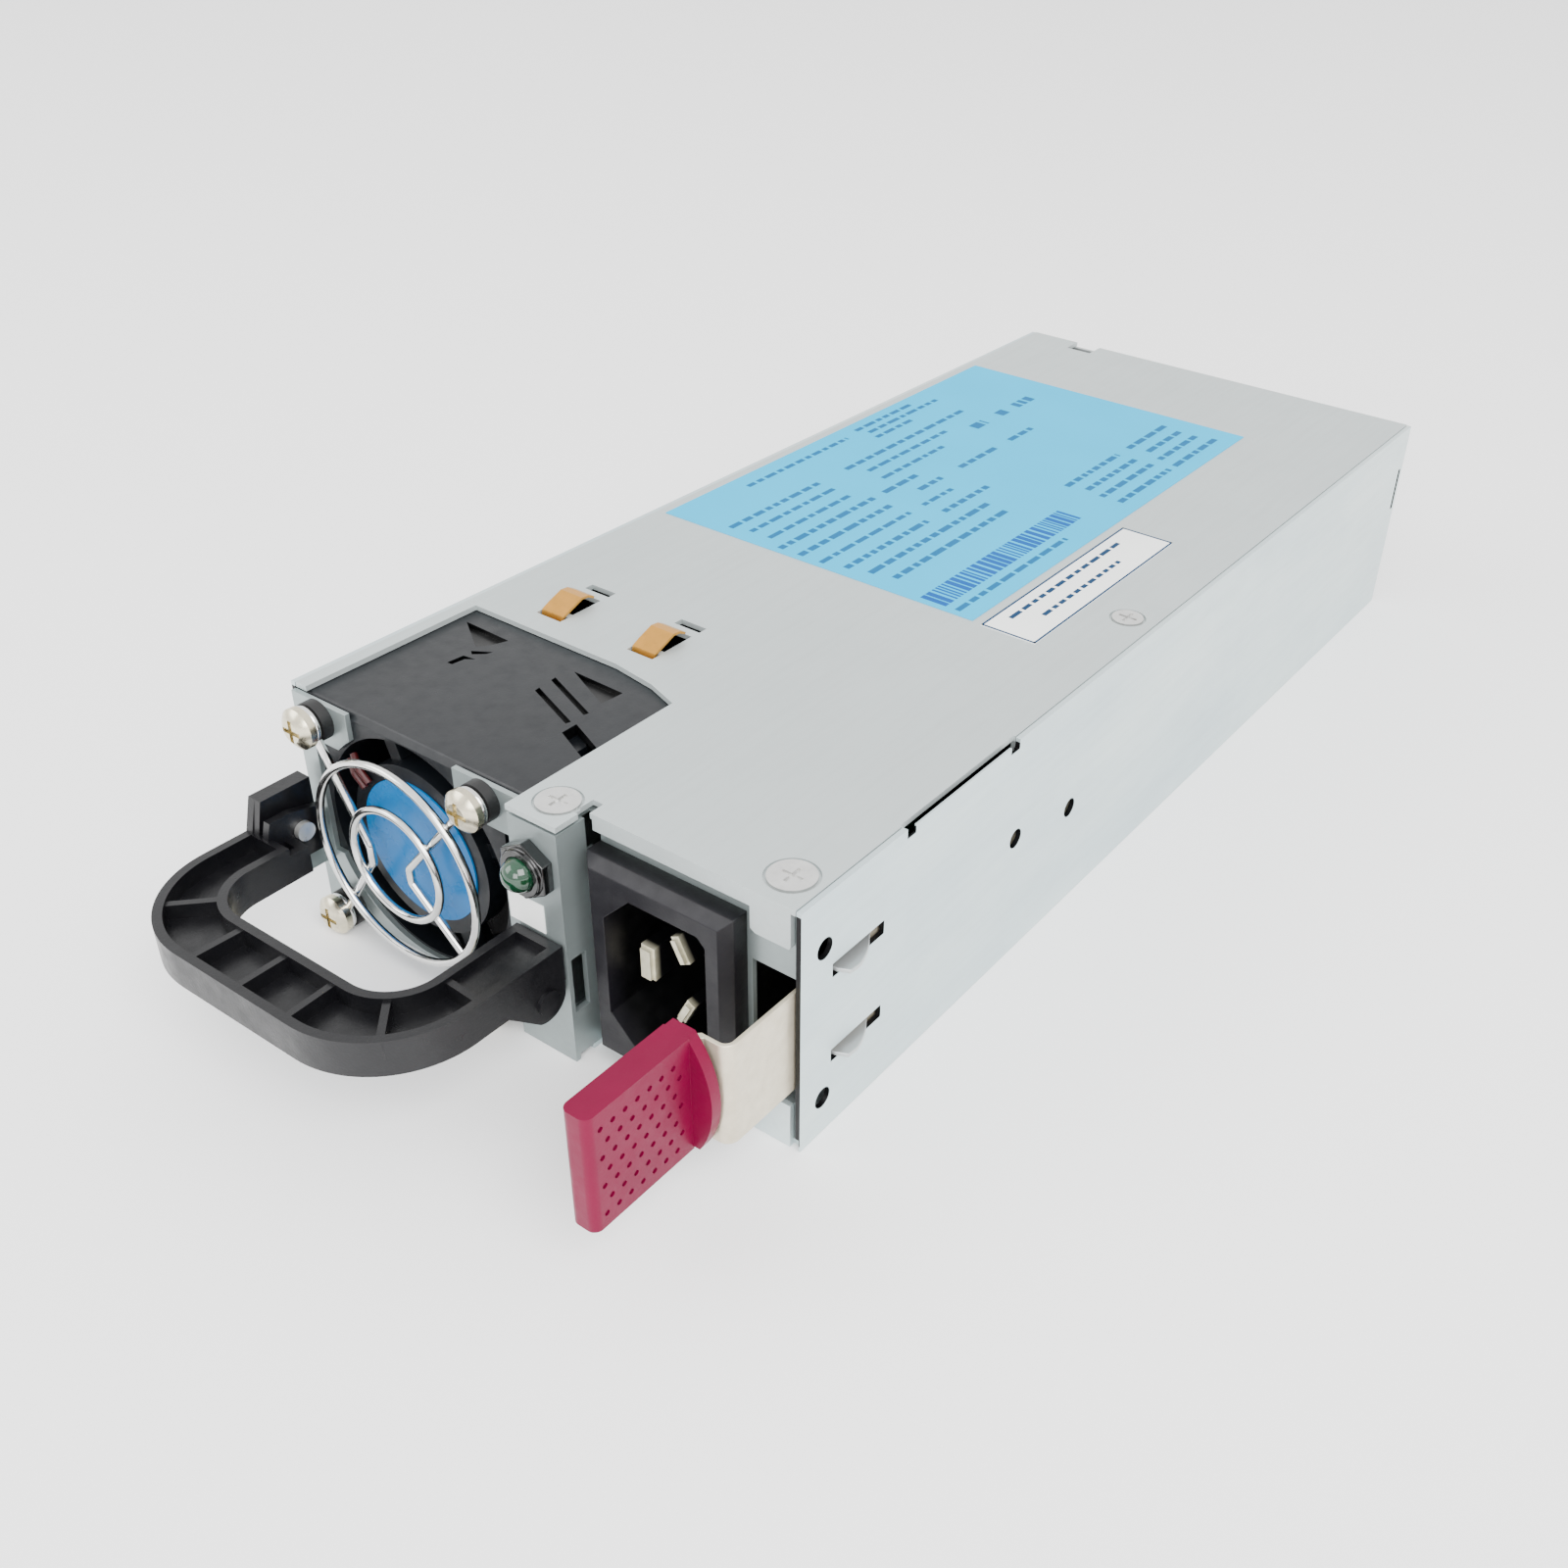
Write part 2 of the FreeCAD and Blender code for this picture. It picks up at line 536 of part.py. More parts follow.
# rotor: cup open to the front, blades twisted along the axis
ry0, ry1 = -fyc + 5.4, -fyc + 22.0
hub = cut("rotor_cup", cyl("rotor_hub_blank", FX, ry0, FZ, d("rotor_hub"), ry1 - ry0, "y"),
          cyl("rotor_hub_inside", FX, ry0 - 1, FZ, d("rotor_hub") - 1.0, ry1 - ry0 - 0.6, "y"),
          cyl("rotor_shaft_hole", FX, ry0, FZ, d("shaft_radius"), 30, "y"))
rim, root = NUM["rotor_tip"], NUM["rotor_hub"] - 0.4


def blade_wire(r, k, y0, y1, sweep, thick):
    """One aerofoil section, flat in the plane square to the blade's own radius."""
    turn = 2 * math.pi * k / 7.0
    out = Vector(math.cos(turn), 0, math.sin(turn))
    side = Vector(-math.sin(turn), 0, math.cos(turn))
    centre = Vector(NUM["fan_x"], 0, NUM["fan_z"]) + out * r
    front, back = [], []
    n = 6
    for i in range(n + 1):
        f = i / float(n)
        y = y0 + (y1 - y0) * f
        off = sweep * (f - 0.5) + 0.9 * math.sin(math.pi * f)
        t = thick * (0.30 + 0.70 * math.sin(math.pi * f)) / 2.0
        front.append(centre + side * (off + t) + Vector(0, y, 0))
        back.append(centre + side * (off - t) + Vector(0, y, 0))
    loop = front + back[::-1]
    return Part.makePolygon(loop + [loop[0]])


blades = []
for k in range(7):
    blades.append(Part.makeLoft([blade_wire(8.0, k, ry0.v + 0.6, ry1.v - 0.6, 5.6, 1.5), blade_wire(17.6, k, ry0.v + 0.6, ry1.v - 0.6, 11.5, 1.0)], True, True))
blade_set = shaped("rotor_blades", Part.makeCompound(blades))
annulus = cut("rotor_annulus", cyl("rotor_annulus_out", FX, ry0, FZ, d("rotor_tip"), 30, "y"), cyl("rotor_annulus_in", FX, ry0 - 1, FZ, d("rotor_hub") - 0.5, 34, "y"))
rotor = fuse("fan_rotor", hub, common("rotor_blades_trimmed", blade_set, annulus))
node("fan_rotor", rotor)
node("fan_shaft", cyl("fan_shaft", FX, -fyc + 2.8, FZ, d("shaft_radius"), 19.2, "y"))
node("rotor_magnet", cut("rotor_magnet", cyl("magnet_out", FX, ry0 + 0.6, FZ, d("rotor_hub") - 1.0, 11.0, "y"),
                         cyl("magnet_in", FX, ry0, FZ, d("rotor_hub") - 2.3, 14, "y")))
# motor stator on a bearing tube fixed to the spider
stator = fuse("motor_blank", cyl("motor_core", FX, -fyc + 7.2, FZ, 8.2, 8.0, "y"), cyl("motor_tube", FX, -fyc + 4.0, FZ, 3.6, 13.0, "y"))
slots = [box("motor_slot_%d" % k, 5.4, 9.0, -0.7, 0.7, -0.5, 9.0) for k in range(6)]
for k, s in enumerate(slots):
    s.Placement = Placement(Vector(NUM["fan_x"], -fyc.v + 7.0, NUM["fan_z"]), Rotation(Vector(0, 1, 0), 60 * k).multiply(TURN["y"]))
node("fan_motor", cut("fan_motor", stator, cyl("motor_bore", FX, -fyc - 1, FZ, 2.6, 30, "y"), *slots))
rings = []
for i, y0 in enumerate((2.3, 13.6)):
    rings.append(cut("bearing_%d" % i, cyl("bearing_out_%d" % i, FX, -fyc + y0, FZ, 2.6, 2.6, "y"),
                     cyl("bearing_in_%d" % i, FX, -fyc + y0 - 1, FZ, d("shaft_radius") + d("bearing_play"), 5, "y")))
node("fan_bearings", group("fan_bearings", *rings))

# finger guard: two rings and two bent wires that end in eyelets under the screws
gw = NUM["guard_wire"]
gy = yf(-d("fan_front") - G) - 1.65 - gw
gyv = gy.v
fxv, fzv, hp = NUM["fan_x"], NUM["fan_z"], NUM["screw_pitch"] / 2
legs = [tube([(fxv + sx * (hp - 2.0), gyv, fzv + hp - 1.7), (fxv + ax, gyv, fzv + at), (fxv + ax, gyv, fzv + ab), (fxv + sx * (hp - 2.0), gyv, fzv - hp + 1.7)], gw, 1.7)
        for sx, ax, at, ab in ((-1, -4.1, 0.6, -3.9), (1, -0.7, 0.6, -3.9))]
guard_legs = shaped("guard_legs", Part.makeCompound(legs))
eyes = [torus("guard_eye_%d%d" % (sx, sz), FX + sx * HP, gy, FZ + sz * HP, 2.2, gw, "y") for sx in (-1, 1) for sz in (-1, 1)]
ring_y = gy - (2 * gw - 0.14)
guard = fuse("finger_guard", guard_legs, torus("guard_ring_outer", FX, ring_y, FZ, d("guard_ring"), gw, "y"),
             torus("guard_ring_inner", FX, ring_y, FZ, d("guard_inner"), gw, "y"), *eyes)
node("finger_guard", guard)

# rubber isolators behind the guard, pan-head screws in front
pads, screws = [], []
for i, (sx, sz) in enumerate(((-1, 1), (1, 1), (-1, -1), (1, -1))):
    cx, cz = FX + sx * HP, FZ + sz * HP
    r_iso = d("isolator") if sz < 0 else d("isolator")
    flange = cyl("isolator_flange_%d" % i, cx, fy - 1.65, cz, 2.9, 1.65, "y")
    neck = cyl("isolator_neck_%d" % i, cx, fy - 0.2, cz, 1.85, 0.2 + 0.8, "y")
    pads.append(cut("isolator_%d" % i, fuse("isolator_blank_%d" % i, flange, neck), cyl("isolator_hole_%d" % i, cx, fy - 3, cz, 1.45, 6, "y")))
    head = common("screw_head_%d" % i, cyl("screw_head_blank_%d" % i, cx, gy - gw - 2.0, cz, 3.0, 2.0, "y"), sphere("screw_dome_%d" % i, cx, gy - gw + 1.8, cz, 4.1))
    shank = cyl("screw_shank_%d" % i, cx, gy - gw - 0.2, cz, 1.4, 10.4, "y")
    cross = [box("screw_cross_%d%s" % (i, k), cx - (1.7 if k == "a" else 0.35), cx + (1.7 if k == "a" else 0.35), gy - gw - 4, gy - gw - 1.1,
                 cz - (0.35 if k == "a" else 1.7), cz + (0.35 if k == "a" else 1.7)) for k in "ab"]
    screws.append(cut("fan_screw_%d" % i, fuse("fan_screw_blank_%d" % i, head, shank), *cross))
node("fan_isolators", group("fan_isolators", *pads))
node("fan_screws", group("fan_screws", *screws))

# two leads from the hub's rim to the upper left of the mouth
leads = []
for k in (-1, 1):
    ux, uz = math.cos(math.radians(140)), math.sin(math.radians(140))
    ox, oz = 0.75 * k * uz, -0.75 * k * ux
    leads.append(tube([(fxv + ux * r + ox, -fyc.v + y, fzv + uz * r + oz) for r, y in ((11.5, -0.1), (13.9, -0.1), (16.0, 0.7))], 0.5, 1.2))
node("fan_leads", shaped("fan_leads", Part.makeCompound(leads)))

# ============================================================ indicator, inlet
hexagon = [(NUM["lamp_x"] + NUM["lamp_nut"] * math.cos(math.radians(30 + 60 * k)), NUM["lamp_z"] + NUM["lamp_nut"] * math.sin(math.radians(30 + 60 * k))) for k in range(6)]
nut = fuse("lamp_holder_blank", prism("lamp_hex", hexagon, "y", yf(-CP) - 1.7, 1.7), cyl("lamp_collar", d("lamp_x"), yf(-CP) - 2.3, d("lamp_z"), 3.3, 0.8, "y"),
           cyl("lamp_barrel", d("lamp_x"), yf(-CP) - 0.1, d("lamp_z"), 2.85, 0.9, "y"))
node("led_holder", cut("led_holder", nut, cyl("lamp_bore", d("lamp_x"), yf(-CP) - 4, d("lamp_z"), d("lamp_lens"), 10, "y")))
node("led_lens", fuse("led_lens", cyl("lens_barrel", d("lamp_x"), yf(-CP) - 2.2, d("lamp_z"), d("lamp_lens"), 5.0, "y"), sphere("lens_dome", d("lamp_x"), yf(-CP) - 2.2, d("lamp_z"), d("lamp_lens"))))
node("led_board", box("led_board", 2.9, 8.7, yf(-1.2), yf(0.2), 24.5, 35.5))

b = new_body("inlet_housing")
IX, IZ = d("inlet_x"), d("inlet_z")
BW, BH = d("bezel_width") / 2, d("bezel_height") / 2
front_z = -yf(-d("bezel_proud"))
sk = new_sketch(b, "Bezel", "XZ_Plane", front_z)
rect(sk, IX - BW, IX + BW, IZ - BH, IZ + BH)
bezel = pad(b, sk, d("bezel_proud") + 0.9, back=True)
sk = new_sketch(b, "InletBody", "XZ_Plane", -yf(0.9))
rect(sk, IX - 9.7, IX + 9.7, IZ - 13.5, IZ + 13.5)
pad(b, sk, 20.0, back=True)
SW, SH = d("socket_width") / 2, d("socket_height") / 2
sk = new_sketch(b, "Socket", "XZ_Plane", front_z)
cc = 4.4
outline(sk, [(IX - SW, IZ - SH + cc), (IX - SW + cc, IZ - SH), (IX + SW - 1.2, IZ - SH), (IX + SW, IZ - SH + 1.2),
             (IX + SW, IZ + SH - 1.2), (IX + SW - 1.2, IZ + SH), (IX - SW + cc, IZ + SH), (IX - SW, IZ + SH - cc)])
pocket(b, sk, d("socket_depth"))
sk = new_sketch(b, "BladeSlots", "XZ_Plane", front_z)
# earth bar upright, the two live pins leaning: centre, width, height, lean
BLADES = ((17.6, 17.0, 2.2, 5.2, 0.0, 0.9, 35.8), (23.1, 21.6, 1.4, 4.0, 27.0, 1.0, 38.4), (23.6, 11.8, 1.4, 4.0, -27.0, 1.0, 33.2))


def pin_section(cx, cz, w, h, lean, grow=0.0):
    ca, sa = math.cos(math.radians(lean)), math.sin(math.radians(lean))
    pts = []
    for u, v in ((-1, -1), (1, -1), (1, 1), (-1, 1)):
        a, c = u * (w / 2 + grow), v * (h / 2 + grow)
        pts.append((cx + a * ca + c * -sa, cz + a * sa + c * ca))
    return pts


for cx, cz, w, h, lean, tip, bend in BLADES:
    outline(sk, pin_section(cx, cz, w, h, lean))
last = pocket(b, sk, 40)
doc.recompute()
edges = []
for i, e in enumerate(last.Shape.Edges, start=1):
    v = [p.Point for p in e.Vertexes]
    if len(v) == 2:
        on_face = all(abs(p.y + front_z.v) < 1e-4 for p in v)
        outer = all(abs(abs(p.x - IX.v) - BW.v) < 1e-4 for p in v) or all(abs(abs(p.z - IZ.v) - BH.v) < 1e-4 for p in v)
        if on_face and outer:
            edges.append("Edge%d" % i)
ch = b.newObject("PartDesign::Chamfer", "BezelChamfer")
ch.Base = (last, edges)
ch.Size = 1.4
b.Tip = ch
node("inlet_housing", b)
blades = []
for i, (cx, cz, w, h, lean, tip, bend) in enumerate(BLADES):
    blades.append(fuse("blade_blank_%d" % i, prism("blade_bar_%d" % i, pin_section(cx, cz, w, h, lean), "y", yf(tip + 0.6), 26.4 - tip),
                       prism("blade_nose_%d" % i, pin_section(cx, cz, w, h, lean, -0.3), "y", yf(tip), 1.5)))
node("inlet_blades", group("inlet_blades", *blades))

# ==================================================================== handle
b = new_body("handle")
HL, HR, HT = NUM["handle_left"], NUM["handle_right"], NUM["handle_top"]
front_y = yf(-d("handle_reach")).v
AW = NUM["arm_width"]
RO, RI = 15.0, 7.0
yL, yR = yf(-12.6).v, yf(-5.2).v
q = math.sqrt(0.5)


def loop_path(sk, inset, yl, yr):
    xl, xr, yfr = HL + inset, HR - inset, front_y + inset
    ro, ri = RO - inset, RI + inset
    ixl, ixr, iy = HL + AW - inset, HR - AW - inset * 0 + 0 + (-inset) * 0, front_y + 9.4 - inset
    ixr = HR - AW + inset
    path(sk, [("l", xr, yfr + ro), ("a", xr - ro + ro * q, yfr + ro - ro * q, xr - ro, yfr), ("l", xl + ro, yfr),
              ("a", xl + ro - ro * q, yfr + ro - ro * q, xl, yfr + ro), ("l", xl, yl), ("l", ixl, yl), ("l", ixl, iy + ri),
              ("a", ixl + ri - ri * q, iy + ri - ri * q, ixl + ri, iy), ("l", ixr - ri, iy),
              ("a", ixr - ri + ri * q, iy + ri - ri * q, ixr, iy + ri), ("l", ixr, yr), ("l", xr, yr)])


sk = new_sketch(b, "HandleLoop", "XY_Plane", d("handle_top") - d("handle_gauge"))
loop_path(sk, 0.0, yL, yR)
pad(b, sk, d("handle_gauge"))
# right hub, rounded about the pin
PY, PZ = yf(-d("pivot_y")).v, NUM["pivot_z"]
sk = new_sketch(b, "RightHub", "YZ_Plane", d("handle_right") - d("arm_width"))
hr = 3.3
a0 = math.radians(-100)
path(sk, [("l", PY + 3.3, HT), ("l", yf(-18.0).v, HT), ("l", yf(-18.0).v, HT - 5.0), ("l", yf(-15.0).v, 14.4), ("l", PY - 1.4, PZ - 3.0), ("a", PY + hr * 0.42, PZ - hr * 0.907, PY + 3.3, PZ)])
pad(b, sk, d("arm_width"))
# left hub: outer cheek with a raised wall, short floor behind the loop
sk = new_sketch(b, "LeftCheek", "YZ_Plane", d("handle_left"))
path(sk, [("l", yf(-3.9).v, 24.8), ("l", yf(-12.0).v, 24.8), ("l", yf(-13.4).v, HT), ("l", yf(-15.0).v, 14.4), ("l", PY - 1.4, PZ - 3.0), ("a", PY + hr * 0.42, PZ - hr * 0.907, PY + 3.3, PZ)])
pad(b, sk, 1.3)
sk = new_sketch(b, "LeftWall", "YZ_Plane", d("handle_left"))
outline(sk, [(yf(-3.9), 18.8), (yf(-3.9), 24.8), (yf(-12.0), 24.8), (yf(-13.3), 19.4), (yf(-13.3), 18.8)])
pad(b, sk, 2.5)
sk = new_sketch(b, "InnerCheek", "YZ_Plane", -38.9)
outline(sk, [(yf(-4.2), 14.4), (yf(-4.2), 21.2), (yf(-9.0), 22.4), (yf(-12.6), 22.4), (yf(-13.4), 19.6), (yf(-13.4), 14.4)])
pad(b, sk, 1.2)
sk = new_sketch(b, "KnobBore", "YZ_Plane", -39.3)
circle(sk, yf(-7.8), 18.9, 0.92)
pocket(b, sk, 2.0, back=True)
sk = new_sketch(b, "LeftFloor", "XY_Plane", 15.2)
outline(sk, [(HL + 0.5, yf(-13.4)), (HL + AW, yf(-13.4)), (HL + AW, yf(-9.6)), (HL + 4.0, yf(-9.6)), (HL + 4.0, yf(-12.0)), (HL + 0.5, yf(-12.0))])
pad(b, sk, 1.4)
sk = new_sketch(b, "LeftInnerWall", "XY_Plane", 14.4)
rect(sk, HL + AW - 1.3, HL + AW, yf(-13.4), yf(-9.6))
rect(sk, HL + 4.0, HL + AW - 1.3, yf(-10.9), yf(-9.6))
pad(b, sk, 4.2)
# channel on top
sk = new_sketch(b, "Channel", "XY_Plane", d("handle_top"))
loop_path(sk, NUM["arm_wall"], yL - 1.0, yR - 1.4)
pocket(b, sk, 2.6)
# ribs across the channel
sk = new_sketch(b, "Ribs", "XY_Plane", d("handle_top") - 2.8)


def rib(ax, ay, bx, by, w=1.0):
    ux, uy = bx - ax, by - ay
    k = math.hypot(ux, uy)
    nx, ny = -uy / k * w / 2, ux / k * w / 2
    outline(sk, [(ax + nx, ay + ny), (ax - nx, ay - ny), (bx - nx, by - ny), (bx + nx, by + ny)])


def F(v):
    return v - NUM["case_depth"] / 2


rib(-38.3, F(-31.0) + 0.4, -32.6, F(-24.6))
rib(-25.8, F(-34.6), -25.4, F(-26.4))
rib(-16.8, F(-34.6), -16.8, F(-26.4))
rib(-7.6, F(-34.6), -8.0, F(-26.4))
rib(4.9, F(-31.0) + 0.2, -0.6, F(-24.8))
rib(8.6, F(-18.4), 1.9, F(-18.0))
pad(b, sk, 2.4)
# shallow floor over the right hub
sk = new_sketch(b, "HubFloor", "XY_Plane", d("handle_top") - 2.7)
rect(sk, HR - AW + 1.2, HR - 1.2, yf(-17.7), yf(-6.5))
pad(b, sk, 1.5)
# right hub: slot for the ear, pin bore; boss on the outer cheek
sk = new_sketch(b, "EarSlot", "XY_Plane", 5.0)
rect(sk, 4.3, 6.1, PY - 4.2, PY + 5)
pocket(b, sk, 11.4, back=True)
sk = new_sketch(b, "PinBore", "YZ_Plane", -50)
circle(sk, PY, PZ, d("pin_radius") + d("pin_play"))
pocket(b, sk, 58.0, back=True)
sk = new_sketch(b, "PinBoss", "YZ_Plane", d("handle_right"))
circle(sk, PY, PZ, 1.7)
pad(b, sk, 0.5)
b.Tip = b.Group[-1]
node("handle", b)
pin_r = cyl("pin_right", 2.4, yf(-d("pivot_y")), PZ, d("pin_radius"), 5.4, "x")
pin_l = fuse("pin_left", cyl("pin_left_shank", -42.2, yf(-d("pivot_y")), PZ, d("pin_radius"), 2.6, "x"), cyl("pin_left_head", -39.7, yf(-d("pivot_y")), PZ, 2.0, 0.7, "x"))
node("handle_pins", group("handle_pins", pin_r, pin_l))
node("detent_rivet", fuse("detent_rivet", cyl("rivet_shank", -38.85, yf(-7.8), 18.9, 0.9, 1.25, "x"), cyl("rivet_head", -37.7, yf(-7.8), 18.9, 1.4, 0.9, "x")))

# ===================================================================== latch
SG = NUM["strip_gauge"]
sf = NUM["strip_face"]
b = new_body("latch_spring")
sk = new_sketch(b, "StripPath", "XY_Plane", d("strip_low"))
y_front = F(-NUM["strip_reach"])
r_o, r_i = 1.7, 1.1
xin = 36.6
path(sk, [
    ("l", sf, F(44.3)), ("l", sf, y_front + r_o), ("a", sf - r_o + r_o * q, y_front + r_o - r_o * q, sf - r_o, y_front),
    ("l", xin + 2.0, y_front), ("l", xin, y_front - 2.0), ("l", xin, F(-27.0)), ("l", xin - SG, F(-27.0)), ("l", xin - SG, y_front - 1.2), ("l", xin + 1.2, y_front + SG),
    ("l", sf - r_o, y_front + SG), ("a", sf - r_o + r_i * q, y_front + r_o - r_i * q, sf - SG, y_front + r_o), ("l", sf - SG, F(44.3))])
pad(b, sk, d("strip_high") - d("strip_low"))
# catch teeth: steep at the front, ramped to the rear
for i, z0 in enumerate((24.7, 11.1)):
    sk = new_sketch(b, "Tooth%d" % i, "XY_Plane", z0)
    path(sk, [("l", sf - 0.5, F(7.0)), ("l", sf + 1.0, F(7.2)), ("l", NUM["tooth_reach"], F(7.9)), ("l", NUM["tooth_reach"] + 0.1, F(9.6)),
              ("a", sf + 1.9, F(12.3), sf + 0.8, F(14.2)), ("l", sf - 0.5, F(16.2))])
    pad(b, sk, 0.6)
b.Tip = b.Group[-1]
node("latch_spring", b)

root = cut("latch_root", box("root_leaf", 41.5, 42.1, yf(44.5), yf(70.0), 12.0, 25.0),
           cyl("root_hole_a", 41, yf(48.9), 21.0, 2.6, 3, "x"), cyl("root_hole_b", 41, yf(64.6), 17.8, 2.6, 3, "x"),
           cyl("root_hole_c", 41, yf(54.6), 15.6, 1.5, 3, "x"), cyl("root_hole_d", 41, yf(58.4), 21.6, 1.5, 3, "x"))
node("latch_root", root)
riv = [fuse("latch_rivet_%d" % i, cyl("latch_rivet_shank_%d" % i, 41.4, yf(a), z, 1.5, 1.0, "x"), cyl("latch_rivet_head_%d" % i, 40.4, yf(a), z, 2.2, 1.1, "x"))
       for i, (a, z) in enumerate(((54.6, 15.6), (58.4, 21.6)))]
node("latch_rivets", group("latch_rivets", *riv))

# touch tab moulded on the strip's end, dimpled faces and a bowed rear flange
b = new_body("latch_tab")
TL, TR = d("tab_left"), d("tab_right")
sk = new_sketch(b, "TabPlate", "XY_Plane", d("tab_low"))
tl, tr = NUM["tab_left"], NUM["tab_right"]
tf = F(-NUM["tab_front"])
path(sk, [("l", tr, F(-14.0)), ("l", tl, F(-14.0)), ("l", tl, tf + 1.2), ("a", tl + 0.35, tf + 0.35, tl + 1.2, tf), ("l", tr - 1.2, tf), ("a", tr - 0.35, tf + 0.35, tr, tf + 1.2)])
pad(b, sk, d("tab_high") - d("tab_low"))
sk = new_sketch(b, "RearFlange", "XZ_Plane", -F(-14.2))
path(sk, [("l", 34.6, NUM["tab_low"] + 0.5), ("l", 39.3, NUM["tab_low"] + 0.5), ("a", 41.4, 17.6, 37.9, NUM["tab_high"]), ("l", 34.6, NUM["tab_high"])])
pad(b, sk, 1.6, back=True)
# hollow for the strip's end
sk = new_sketch(b, "StripPocket", "XY_Plane", d("strip_low"))
path(sk, [("l", 40.0, y_front + 1.0), ("l", 40.0, y_front), ("l", xin + 2.0, y_front), ("l", xin, y_front - 2.0), ("l", xin, F(-27.0)), ("l", xin - SG, F(-27.0)),
          ("l", xin - SG, y_front - 1.2), ("l", xin - 0.3, y_front + 1.0)])
pocket(b, sk, d("strip_high") - d("strip_low"), back=True)
# rows of small dimples on both large faces
for side, face in (("R", TR), ("L", TL)):
    sk = new_sketch(b, "Dimples" + side, "YZ_Plane", face)
    for i in range(7):
        for j in range(7):
            circle(sk, F(-28.6) + i * 1.95 + (0.97 if j % 2 else 0), 11.4 + j * 2.15, 0.38)
    pocket(b, sk, 0.3, back=(side == "L"))
b.Tip = b.Group[-1]
node("latch_tab", b)

# ================================================================ electronics
BL, BG = d("board_low"), d("board_gauge")
BT = BL + BG
b = new_body("main_board")
sk = new_sketch(b, "BoardOutline", "XY_Plane", BL)
outline(sk, [(d("board_left"), yf(d("board_start"))), (d("board_right"), yf(d("board_start"))), (d("board_right"), REAR - 1.4), (d("tongue_right"), REAR - 1.4),
             (d("tongue_right"), REAR + d("tongue_reach") - 1.0), (d("tongue_right") - 1.0, REAR + d("tongue_reach")), (-6.0, REAR + d("tongue_reach")), (-6.0, REAR + 1.0), (-8.0, REAR + 1.0), (-8.0, REAR + d("tongue_reach")),
             (d("tongue_left") + 1.0, REAR + d("tongue_reach")), (d("tongue_left"), REAR + d("tongue_reach") - 1.0), (d("tongue_left"), REAR - 1.4), (d("board_left"), REAR - 1.4)])
pad(b, sk, BG)
STAND = ((-37.4, 36.0), (37.0, 58.0), (-37.4, 186.0), (37.0, 186.0))
sk = new_sketch(b, "BoardHoles", "XY_Plane", BT)
for sx, sy in STAND:
    circle(sk, sx, yf(sy), 1.6)
pocket(b, sk, BG)
b.Tip = b.Group[-1]
node("main_board", b)
fingers = []
for i in range(16):
    x0 = -33.2 + i * 3.08
    if x0 < -5.5 and x0 + 2.4 > -8.5:
        continue
    for k, (za, zb) in enumerate(((BT, BT + 0.06), (BL - 0.06, BL))):
        fingers.append(box("contact_%d_%d" % (i, k), x0, x0 + 2.4, REAR + 1.6, REAR + d("tongue_reach") - 1.2, za, zb))
node("edge_contacts", group("edge_contacts", *fingers))
film = box("film_sheet", -41.6, 40.8, yf(30.5), REAR - 1.6, G, G + 0.4)
node("insulator_sheet", cut("insulator_sheet", film, *[cyl("film_hole_%d" % i, sx, yf(sy), 0, 3.2, 3) for i, (sx, sy) in enumerate(STAND)]))
node("standoffs", group("standoffs", *[cut("standoff_%d" % i, cyl("standoff_out_%d" % i, sx, yf(sy), G, 2.7, BL - G), cyl("standoff_in_%d" % i, sx, yf(sy), G - 1, 1.25, 8)) for i, (sx, sy) in enumerate(STAND)]))
bs = []
for i, (sx, sy) in enumerate(STAND):
    blank = fuse("board_screw_blank_%d" % i, cyl("board_screw_head_%d" % i, sx, yf(sy), BT, 2.7, 1.7), cyl("board_screw_shank_%d" % i, sx, yf(sy), BT - 4.0, 1.2, 4.1))
    bs.append(cut("board_screw_%d" % i, blank, box("board_cross_a%d" % i, sx - 1.5, sx + 1.5, yf(sy - 0.3), yf(sy + 0.3), BT + 0.9, BT + 3), box("board_cross_b%d" % i, sx - 0.3, sx + 0.3, yf(sy - 1.5), yf(sy + 1.5), BT + 0.9, BT + 3)))
node("board_screws", group("board_screws", *bs))

# mains wiring from the blades to the board
wires = []
for cx, cz, w, h, lean, tip, bend in BLADES:
    wires.append(tube([(cx, F(27.0), cz), (cx, F(bend), cz), (cx, F(bend), BT.v)], 0.9, 2.0))
node("inlet_wires", shaped("inlet_wires", Part.makeCompound(wires)))

# mains filter
node("fuse", fuse("fuse", cyl("fuse_tube", 32.5, yf(37.0), BT + 3.2, 2.5, 18.0, "y"), cyl("fuse_cap_a", 32.5, yf(36.0), BT + 3.2, 3.1, 5.0, "y"), cyl("fuse_cap_b", 32.5, yf(51.0), BT + 3.2, 3.1, 5.0, "y"),
                  box("fuse_clip_a", 31.7, 33.3, yf(37.6), yf(39.0), BT, BT + 2.0), box("fuse_clip_b", 31.7, 33.3, yf(53.0), yf(54.4), BT, BT + 2.0)))
node("x_capacitor", box("x_capacitor", 1.0, 13.0, yf(34.0), yf(52.0), BT, BT + 17))
node("y_capacitors", group("y_capacitors", *[cyl("y_capacitor_%d" % i, a, yf(47.0), BT + 3.8, 3.8, 3.0, "y") for i, a in enumerate((17.5, 25.6))]))
core = torus("emi_core", -10.5, yf(44.0), BT + 10.4, 6.6, 3.6, "y")
node("emi_choke", fuse("emi_choke", core, box("emi_base", -18.5, -2.5, yf(40.6), yf(47.4), BT, BT + 2.2)))
node("inrush_relay", box("inrush_relay", -40.0, -27.2, yf(40.6), yf(57.6), BT, BT + 15))
node("bridge_rectifier", box("bridge_rectifier", 16.0, 36.0, yf(62.0), yf(66.0), BT + 1.5, BT + 21))
